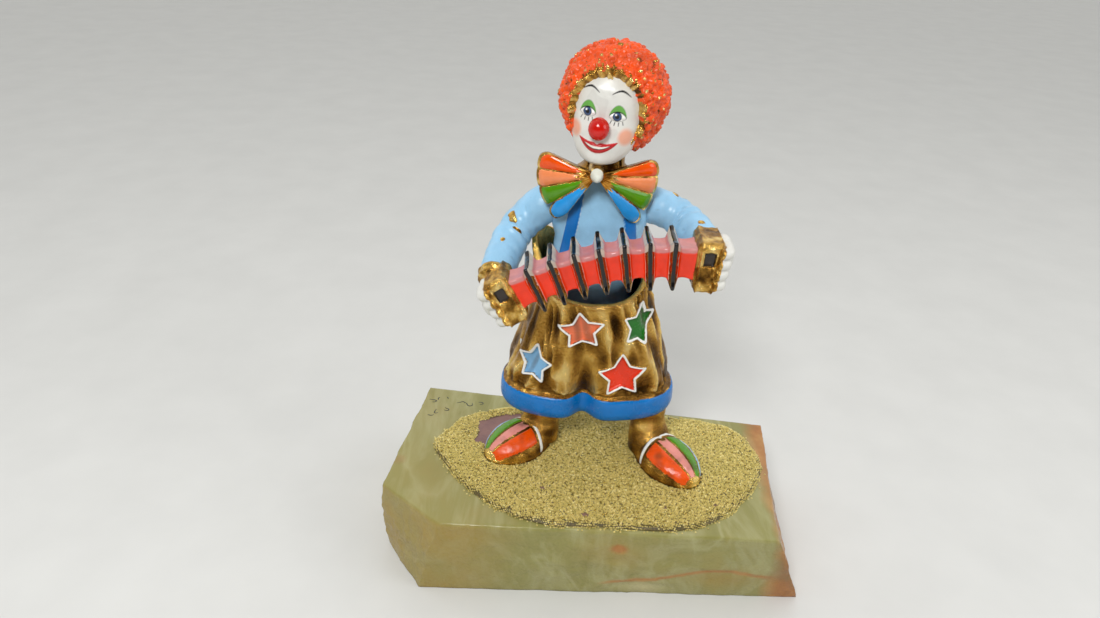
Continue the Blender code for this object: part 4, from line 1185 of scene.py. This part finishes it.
def glove(name, run, side, look):
    """A white gloved hand round the outer end of a box, its knuckles stacked."""

    def spot(out, deep, lift):
        return on_arc(np.float64(run + side * (BOX_HALF[0] + out)), deep, lift)

    grids = [egg(spot(PALM_OUT, *PALM_PLACE), PALM_HALF)]
    for i in range(FINGERS):
        lift = FINGER_LIFT - FINGER_PITCH * i
        route = [(*spot(FINGER_OUT + out, deep, lift), radius) for deep, out, radius in FINGER_ROUTE]
        centres, radii, out, _ = tube_grid(route, 22, 18)
        bulge = 1 + 0.12 * np.cos(np.linspace(0, 4 * math.pi, 22))
        grids.append(centres[:, None] + out * (radii * bulge)[:, None, None])
        for deep, out, radius in FINGER_ROUTE[1:3]:
            knuckle = spot(FINGER_OUT + out + 0.25, deep + 0.6, lift)
            grids.append(egg(knuckle, (radius * 1.08,) * 3, 10, 14))
    form = fused(name, grids, 0.42, 3)
    spots = form.points
    ahead = on_arc(np.float64(run + side), 0.0, 0.0) - on_arc(np.float64(run), 0.0, 0.0)
    outer = (spots - spot(0.0, 0.0, 0.0)) @ ahead
    form.piece(
        name, "white_enamel", look, paint=srgb(WHITE), edge=0.5 * noise(spots, 1.6, 3) - 0.3 - outer,
        grime=0.35 + 0.3 * noise(spots, 2.0, 5),
    )


def wing(name, shape, look):
    """A bow wing of four glossy puffed lobes that fan out from gold pleats at the knot."""
    first, last, upper_reach, lower_reach = shape
    lobes = len(LOBE_COLOURS)
    share = np.linspace(0, 1, lobes * 34 + 1)
    angle = np.radians(first + (last - first) * share)
    index = np.minimum((share * lobes).astype(int), lobes - 1)
    place_in = share * lobes - index
    crest = np.sin(math.pi * np.minimum(place_in, 1 - place_in)) ** 0.5
    away = np.abs(2 * place_in - 1)
    petal = np.where(index == 3, 1.03 - 0.24 * away ** 3, 1 - 0.025 * away ** 4)
    petal = petal - np.where(index == 0, 0.1 * (1 - place_in) ** 5, 0)
    full = (upper_reach + (lower_reach - upper_reach) * share) * petal
    down = np.concatenate([np.linspace(0.08, 0.9, 34), [0.94, 0.97, 0.99, 1.0]])
    reach = np.concatenate([down, WING_BACK])[:, None]
    half = WING_THICKNESS / 2 * (1 - 0.55 * smooth_step(0.9, 1.0, reach))
    puff = smooth_step(0.08, 0.45, reach) * (1 - smooth_step(0.86, 1.02, reach)) ** 0.5
    pleat = 0.35 * (1 - smooth_step(0.2, 0.42, reach)) * np.cos(share * lobes * 4 * math.pi)
    behind = np.arange(len(reach))[:, None] >= len(down)
    deep = np.where(behind, half, -half - 1.4 * crest * puff - pleat)
    radius = reach * full
    across = radius * np.cos(angle)
    y = KNOT[1] + WING_SETBACK + np.abs(across) * WING_SWEEP + deep
    grid = np.stack([KNOT[0] + across, y, KNOT[2] + radius * np.sin(angle)], -1).transpose(1, 0, 2)
    lobe_turn = math.radians(abs(last - first) / lobes)
    between = 0.3 - np.minimum(place_in, 1 - place_in) * lobe_turn * radius
    outline = 0.95 - (1 - reach) * full
    root = (0.3 + 0.05 * np.sin(40 * share) - reach) * 14
    edge = np.where(behind, 1.0, np.maximum.reduce([between, outline, root]))
    paint = srgb(np.array(LOBE_COLOURS)[index])
    Form.from_grid(grid).piece(
        name, "striped_enamel", look, paint=np.repeat(paint[:, None], len(reach), 1), edge=edge.T,
        grime=0.3 + 0.3 * noise(grid, 2.0, 5) + 0.3 * behind[:, 0],
    )


def bow_knot(look):
    middle = (KNOT[0], KNOT[1] + KNOT_HALF[1] - KNOT_PROUD, KNOT[2])
    grid = egg(middle, KNOT_HALF, 40, 56)
    spots = grid - np.array(middle)
    front = smooth_step(-0.45, -0.7, spots[..., 1] / KNOT_HALF[1])
    grid = grid + spots * (0.05 * noise(grid, 2.4, 3))[..., None]
    Form.from_grid(grid).piece(
        "bow_knot", "white_enamel", look, paint=srgb(CREAM), edge=1.2 - 2.0 * front,
        grime=0.35 + 0.3 * noise(grid, 1.5, 7),
    )


def head_turn():
    return np.array(Euler([math.radians(a) for a in HEAD_TURN], "XYZ").to_matrix())


def to_head(points):
    """Figure millimetres to the head's own axes."""
    return (points - np.array(HEAD_CENTRE)) @ head_turn()


def from_head(points):
    return points @ head_turn().T + np.array(HEAD_CENTRE)


def face_paint(x, z):
    """A plain clown make-up of our own on textbook proportions: colours over the white, with a painted glint
    in each eye.
    """
    paint = np.broadcast_to(srgb(WHITE), x.shape + (3,)).copy()
    ax = np.abs(x)

    def lay(mask, colour):
        paint[:] = paint * (1 - mask[..., None]) + srgb(colour) * mask[..., None]

    def soft(value, blur=0.1):
        return smooth_step(blur, -blur, value)

    lay(soft(np.hypot(ax - 9.4, (z + 6.6) * 0.8) - 2.4, 0.9) * 0.8, (244, 158, 118))
    ex = ax - EYE_AT
    bow = np.clip(1 - (ex / EYE_HALF) ** 2, 0, 1)
    upper = 2.0 * bow ** 0.75
    lower = -1.35 * bow ** 0.9
    lid = upper + 2.3 * bow ** 0.6
    inside = np.abs(ex) < EYE_HALF
    lay(soft(np.maximum(z - lid, upper - z), 0.15) * inside, LID_GREEN)
    lay(soft(np.abs(z - lid - 0.05) - 0.16) * inside * 0.5, (60, 120, 40))
    eye = np.maximum(z - upper, lower - z)
    white = soft(eye, 0.08) * inside
    lay(white, (246, 246, 242))
    gaze = np.hypot(ex + 0.15 * np.sign(x), z - 0.3)
    lay(soft(gaze - 1.62) * white, (20, 22, 30))
    lay(soft(gaze - 1.36) * white, (56, 84, 130))
    lay(soft(gaze - 0.8) * white, (10, 10, 14))
    # A white dot in each eye: a painted glint, standing in for a reflection.
    lay(soft(np.hypot(ex + 0.15 * np.sign(x) + 0.5 * np.sign(x), z - 0.95) - 0.36) * white, (250, 250, 250))
    lay(soft(np.abs(eye) - 0.2) * inside * (z > -0.2), BLACK)
    lay(soft(np.abs(eye) - 0.1) * inside * (z <= -0.2) * 0.7, (60, 50, 50))
    for at, lean in ((-1.9, -0.35), (-0.65, -0.12), (0.65, 0.12), (1.9, 0.4)):
        bottom = -1.35 * (1 - (at / EYE_HALF) ** 2) - 0.35
        stroke = np.abs(ex - at - lean * (bottom - z)) - 0.15
        lay(soft(np.maximum(stroke, np.abs(z - bottom + 0.65) - 0.65), 0.08), BLACK)
    along = ax - BROW_AT
    brow = 8.0 + 1.3 * np.cos(along * 0.55)
    taper = 0.34 * np.clip(1 - (along / BROW_HALF) ** 2, 0, 1) ** 0.5
    lay(soft(np.abs(z - brow) - taper) * (np.abs(along) < BROW_HALF), BLACK)
    curve = 0.045 * x * x
    corner = np.clip(1 - (ax / MOUTH_HALF) ** 2, 0, 1)
    mouth = z + MOUTH_LEVEL - curve
    top = 1.15 * corner ** 0.5 + 0.4 * hill(ax, 1.6, 1.3) - 0.25 * hill(ax, 0, 0.8)
    low = -2.3 * corner ** 0.8
    lips = np.maximum(mouth - top, low - mouth)
    lay(soft(lips) * (ax < MOUTH_HALF), LIP_RED)
    gap = np.clip(1 - (ax / TEETH_HALF) ** 2, 0, 1)
    teeth = np.maximum(mouth - 0.28 * gap, -0.75 * gap ** 0.8 - mouth)
    lay(soft(teeth) * (ax < TEETH_HALF), (244, 240, 228))
    lay(soft(np.abs(mouth + 0.75 * gap ** 0.8) - 0.17) * (ax < TEETH_HALF), (50, 14, 16))
    return paint, lips, eye, inside


def face(look):
    """The head: a white face of a plain design, framed by the wig."""
    columns, count = 250, 160
    angles = front_angles(columns, 0.55)
    z = np.linspace(HEAD_SHAPE[0, 0], HEAD_SHAPE[-1, 0], count)[:, None]
    half_width, front, back = (smooth_curve(HEAD_SHAPE, k, z) for k in (1, 2, 3))
    cos, sin = np.cos(angles), np.sin(angles)
    x = half_width * cos
    x = np.where(x > 0, x * CHEEK_TURN, x)
    y = (back - front) / 2 + sin * (back + front) / 2
    z = z + 0 * x
    ahead = np.clip(-sin, 0, 1) ** 0.5
    relief = np.zeros_like(x)
    for centre, level, wide, high, height in FACE_FORMS:
        relief += height * patch(np.sqrt(x * x + 2), z, (centre, level, wide, high))
    paint, lips, eye, inside = face_paint(x, z)
    relief += 0.55 * smooth_step(0.25, -0.8, lips) * (np.abs(x) < MOUTH_HALF)
    relief += 0.75 * smooth_step(0.2, -1.2, eye) * inside
    relief += 0.3 * patch(np.abs(x), z, (BROW_AT, 8.8, 4.0, 1.6))
    spots = np.stack([x, y - relief * ahead, z], -1)
    spots[..., 1] += 0.07 * layered(spots, 3.0, 2, 5)
    Form.from_grid(from_head(spots)).piece(
        "face", "white_enamel", look, paint=np.where((sin < 0)[:, None], paint, srgb(WHITE)), edge=-1.0,
        grime=np.minimum(0.2 + 0.5 * noise(spots, 5.0, 4), 0.6),
    )


def nose(look):
    radius = NOSE[3]
    grid = egg(NOSE[:3], (radius * 0.98, radius, radius * 1.06), 44, 60)
    grid += (grid - np.array(NOSE[:3])) * (0.02 * noise(grid, 3.0, 3))[..., None]
    Form.from_grid(from_head(grid)).piece(
        "nose", "orange_enamel", look, paint=srgb(NOSE_RED), edge=-1.0, grime=0.1,
    )


def on_ball(vectors):
    return vectors / np.linalg.norm(vectors, axis=1)[:, None]


def curl_centres(rng):
    """Directions from the head's middle, spread evenly over the ball and a little shaken."""
    k = np.arange(CURLS) + 0.5
    height = 1 - 2 * k / CURLS
    turn = math.pi * (1 + 5 ** 0.5) * k
    flat = np.sqrt(1 - height ** 2)
    centres = np.column_stack([flat * np.cos(turn), flat * np.sin(turn), height])
    return on_ball(centres + rng.normal(0, 0.016, centres.shape))


def wig(look):
    """A round wig of tight knobbly curls, gold between them and along the hairline, darker between them as
    painted shade.
    """
    shell = bmesh.new()
    bmesh.ops.create_icosphere(shell, subdivisions=7, radius=1.0)
    directions = on_ball(np.array([v.co[:] for v in shell.verts]))
    triangles = np.array([[v.index for v in f.verts] for f in shell.faces])
    shell.free()
    rng = np.random.default_rng(3)
    centres = curl_centres(rng)
    lifts = rng.uniform(0.3, 1.0, CURLS)
    near = np.empty(len(directions))
    lift = np.empty(len(directions))
    for start in range(0, len(directions), 4096):
        block = directions[start:start + 4096] @ centres.T
        lift[start:start + 4096] = lifts[block.argmax(1)]
        near[start:start + 4096] = np.arccos(np.clip(block.max(1), -1, 1)) * BALL_RADIUS
    base = directions * BALL_RADIUS
    wobble = near + 0.3 * noise(base, 1.3, 8)
    knob = np.clip(1 - (wobble / CURL_HALF) ** 2, 0, 1) * lift
    pit = hill(wobble, 0, 0.5) * (lift > 0.62)
    rise = 2.3 * knob - 1.2 - 0.9 * pit + 0.3 * noise(base, 0.9, 3) + 0.25 * noise(base, 4.5, 6)
    rise = np.minimum(rise, CURL_RISE)
    points = np.array(BALL_CENTRE) + directions * (BALL_RADIUS + rise)[:, None]
    local = (to_head(points) - np.array(FACE_OPENING)) / np.array(FACE_OPENING_HALF)
    depth = np.linalg.norm(local, axis=1) + 0.02 * noise(base, 2.5, 12)
    shrink = 1 - 0.42 * smooth_step(1.0, 0.88, depth)
    points = np.array(BALL_CENTRE) + (points - np.array(BALL_CENTRE)) * shrink[:, None]
    hairline = np.clip(1 - np.abs(depth - 0.97) / 0.15, 0, 1)
    crown = np.clip(1 - np.linalg.norm(directions - np.array(CROWN_WORN), axis=1) / 0.55, 0, 1)
    speck = np.clip(1 - near / 0.75, 0, 1) * (lift > 0.72)
    bald = 1.15 * hairline + 0.7 * crown + 0.45 * noise(base, 5.0, 9) + noise(base, 1.0, 4) + 1.9 * speck
    # Darker in the pits between the curls: painted shade.
    Form(points, np.zeros((0, 4)), triangles).piece(
        "wig", "orange_enamel", look, paint=srgb(HAIR), edge=0.9 * (bald - 0.7 - 0.25 * knob),
        grime=np.clip(0.62 - 0.6 * knob + 0.25 * noise(base, 1.0, 5), 0.05, 0.8),
    )


def shoe(name, plan, look, stripes):
    """A clown shoe: a gold sole and heel, a white strap, and enamel stripes to the toe."""
    columns = 200
    sole = ((0.0, 0.3), (0.0, 0.8), (0.25, 1.4), (0.25, SOLE_TOP - 0.4), (0.0, SOLE_TOP))
    rings = [(spread, 0.0, level) for spread, level in sole]
    for step in np.concatenate([np.linspace(0, 0.3, 8)[1:-1], np.linspace(0.3, 1.0, 66)]):
        level = SOLE_TOP + (SHOE_HEIGHT - SOLE_TOP) * math.sin(step * math.pi / 2)
        rings.append((0.0, 0.985 * (1 - math.cos(step * UPPER_CLOSE)), level))
    grid = np.array([
        np.column_stack([shoe_outline(plan, spread, pull, columns), np.full(columns, level)])
        for spread, pull, level in rings
    ])
    heel, length, ahead, side = plan_axes(plan)
    local = grid[..., :2] - heel
    run = local @ ahead / length
    across = local @ side
    level = grid[..., 2]
    half = shoe_half(run) * np.sqrt(np.clip(1 - ((run - 0.5) / 0.53) ** 2, 0.02, 1))
    aside = across / (half * 1.06)
    strap_at = STRAP_AT + 0.05 * aside ** 2
    paint = np.broadcast_to(srgb(ROSE), aside.shape + (3,))
    edge = np.full(aside.shape, FAR)
    for low, high, colour in stripes:
        far = (np.abs(aside - (low + high) / 2) - (high - low) / 2) * half
        ends = ((strap_at + 0.05 - run) * length, (run - 0.965) * length, SOLE_TOP + 0.4 - level)
        far = np.maximum.reduce([far, *ends])
        paint = np.where((far < edge)[..., None], srgb(colour), paint)
        edge = np.minimum(far, edge)
    strap = np.maximum(np.abs(run - strap_at) * length - STRAP_HALF, SOLE_TOP - 0.2 - level)
    lift = 0.45 * smooth_step(0.3, -0.7, edge) + 0.6 * smooth_step(0.5, -0.4, strap)
    lift += 0.14 * layered(grid, 2.2, 2, 3)
    lift *= smooth_step(SOLE_TOP - 0.5, SOLE_TOP + 0.6, level)
    outward = (across / (np.abs(across) + 6))[..., None] * side
    grid[..., :2] += outward * lift[..., None]
    grid[..., 2] += lift * smooth_step(SOLE_TOP, SHOE_HEIGHT, level)
    # The gold is brightest at the toe: a painted highlight.
    Form.from_grid(grid).piece(
        name, "gold_plate", look, paint=paint, edge=edge, rim=strap,
        grime=0.55 + 0.3 * layered(grid, 4.0, 2, 7) - 0.35 * smooth_step(0.9, 1.0, run),
    )


def leg(name, plan, look):
    """A gold leg that spreads into the shoe's instep."""
    heel, length, ahead, _ = plan_axes(plan)
    ankle = heel + ahead * length * ANKLE_AT
    table = np.array([(z, ankle[0] * xs, ankle[1] * ys, LEG_RADIUS * t) for xs, ys, z, t in LEG_SHAPE])
    levels = np.linspace(3.0, 33.5, 60)[:, None]
    angles = 2 * math.pi * np.arange(72) / 72
    out = np.array([np.cos(angles), np.sin(angles)])
    radius = smooth_curve(table, 3, levels) + 0.8 + 2.0 * smooth_step(19, 7, levels)
    forward = ahead * INSTEP * smooth_step(16, 6, levels)
    x, y = (smooth_curve(table, k + 1, levels) + forward[:, k:k + 1] + radius * out[k] for k in (0, 1))
    grid = np.stack([x, y, levels + 0 * x], -1)
    push = 0.4 * layered(grid, 7.0, 3, 8) + 0.07 * np.sin(levels * 1.3 + 2 * noise(grid, 6.0, 2))
    grid[..., :2] += push[..., None] * out.T
    Form.from_grid(grid).piece(
        name, "gold_plate", look, paint=srgb(WHITE), edge=1.0,
        grime=0.55 - 0.4 * push + 0.3 * noise(grid, 4.0, 6),
    )


def make_camera():
    data = bpy.data.cameras.new("camera")
    data.sensor_width = SENSOR
    data.lens = FOCAL_PIXELS / IMAGE_WIDTH * SENSOR
    data.clip_start = 0.01
    camera = bpy.data.objects.new("camera", data)
    bpy.context.collection.objects.link(camera)
    tilt = Matrix.Rotation(math.radians(90 - CAMERA_DOWN), 4, "X")
    roll = Matrix.Rotation(math.radians(CAMERA_ROLL), 4, "Z")
    camera.matrix_world = Matrix.Translation(CAMERA_PLACE) @ tilt @ roll
    bpy.context.scene.camera = camera


def make_floor():
    mesh = bpy.data.meshes.new("floor")
    mesh.from_pydata([(-4, -4, 0), (4, -4, 0), (4, 6, 0), (-4, 6, 0)], [], [(0, 1, 2, 3)])
    floor = bpy.data.objects.new("floor", mesh)
    bpy.context.collection.objects.link(floor)
    look = Look("pale_floor", Roughness=0.6)
    colour = look.ramp(look.noise(40.0, 3.0), (0.3, (214, 214, 211)), (0.7, (219, 219, 216)))
    mesh.materials.append(look.finish(Base_Color=colour))


def area_light(name, at, size, power_watts):
    data = bpy.data.lights.new(name, "AREA")
    data.energy = power_watts
    data.size = size
    light = bpy.data.objects.new(name, data)
    bpy.context.collection.objects.link(light)
    light.location = at
    light.rotation_euler = (Vector((0, 0, 0.1)) - Vector(at)).to_track_quat("-Z", "Y").to_euler()


def make_light():
    """Soft studio light: a pale room that is dimmer behind the camera, and two softboxes."""
    world = bpy.data.worlds.new("studio")
    bpy.context.scene.world = world
    world.use_nodes = True
    nodes, links = world.node_tree.nodes, world.node_tree.links
    background = nodes["Background"]
    spot = nodes.new("ShaderNodeTexCoord")
    split = nodes.new("ShaderNodeSeparateXYZ")
    ramp = nodes.new("ShaderNodeMapRange")
    links.new(spot.outputs["Generated"], split.inputs[0])
    links.new(split.outputs["Y"], ramp.inputs["Value"])
    for key, value in (("From Min", -0.6), ("From Max", 0.35), ("To Min", 0.08), ("To Max", 0.95)):
        ramp.inputs[key].default_value = value
    links.new(ramp.outputs[0], background.inputs["Strength"])
    background.inputs["Color"].default_value = (1.0, 1.0, 0.98, 1)
    area_light("key", (-0.25, -0.7, 0.85), 0.28, 7.5)
    area_light("fill", (0.8, -0.3, 0.5), 0.5, 2.0)
    bpy.context.scene.view_settings.view_transform = "Standard"


def build():
    glossy = enamel_look("glossy_enamel")
    # The satin's outline colour is a pale blue, used as a painted highlight along the left brace's edges.
    satin = enamel_look("satin_enamel", 0.3, 0.25, 0.12, (176, 208, 226))
    matte = enamel_look("white_enamel", 0.28, 0.25, 0.07)
    gold = enamel_look("antique_gold", 0.22, 0.6)
    curls = enamel_look("curl_enamel", 0.3, 0.4, 0.3)
    onyx_slab(onyx_look())
    ink_strokes(ink_look())
    bed_glue(glue_look())
    beads(bead_look())
    trousers(gold)
    shirt(satin)
    sleeve("left_sleeve", LEFT_SLEEVE, LEFT_CHIPS, satin)
    sleeve("right_sleeve", RIGHT_SLEEVE, RIGHT_CHIPS, satin)
    bellows(glossy)
    for name, run, side in (("left", 0.0, -1), ("right", ARC_LENGTH, 1)):
        end_box(name + "_end_box", run, side, gold)
        glove(name + "_glove", run, side, matte)
    wing("left_bow_wing", LEFT_WING, glossy)
    wing("right_bow_wing", RIGHT_WING, glossy)
    bow_knot(matte)
    face(matte)
    nose(glossy)
    wig(curls)
    shoe("left_shoe", LEFT_SHOE, gold, [(-high, -low, colour) for low, high, colour in SHOE_STRIPES])
    shoe("right_shoe", RIGHT_SHOE, gold, SHOE_STRIPES)
    leg("left_leg", LEFT_SHOE, gold)
    leg("right_leg", RIGHT_SHOE, gold)


make_camera()
make_floor()
make_light()
build()
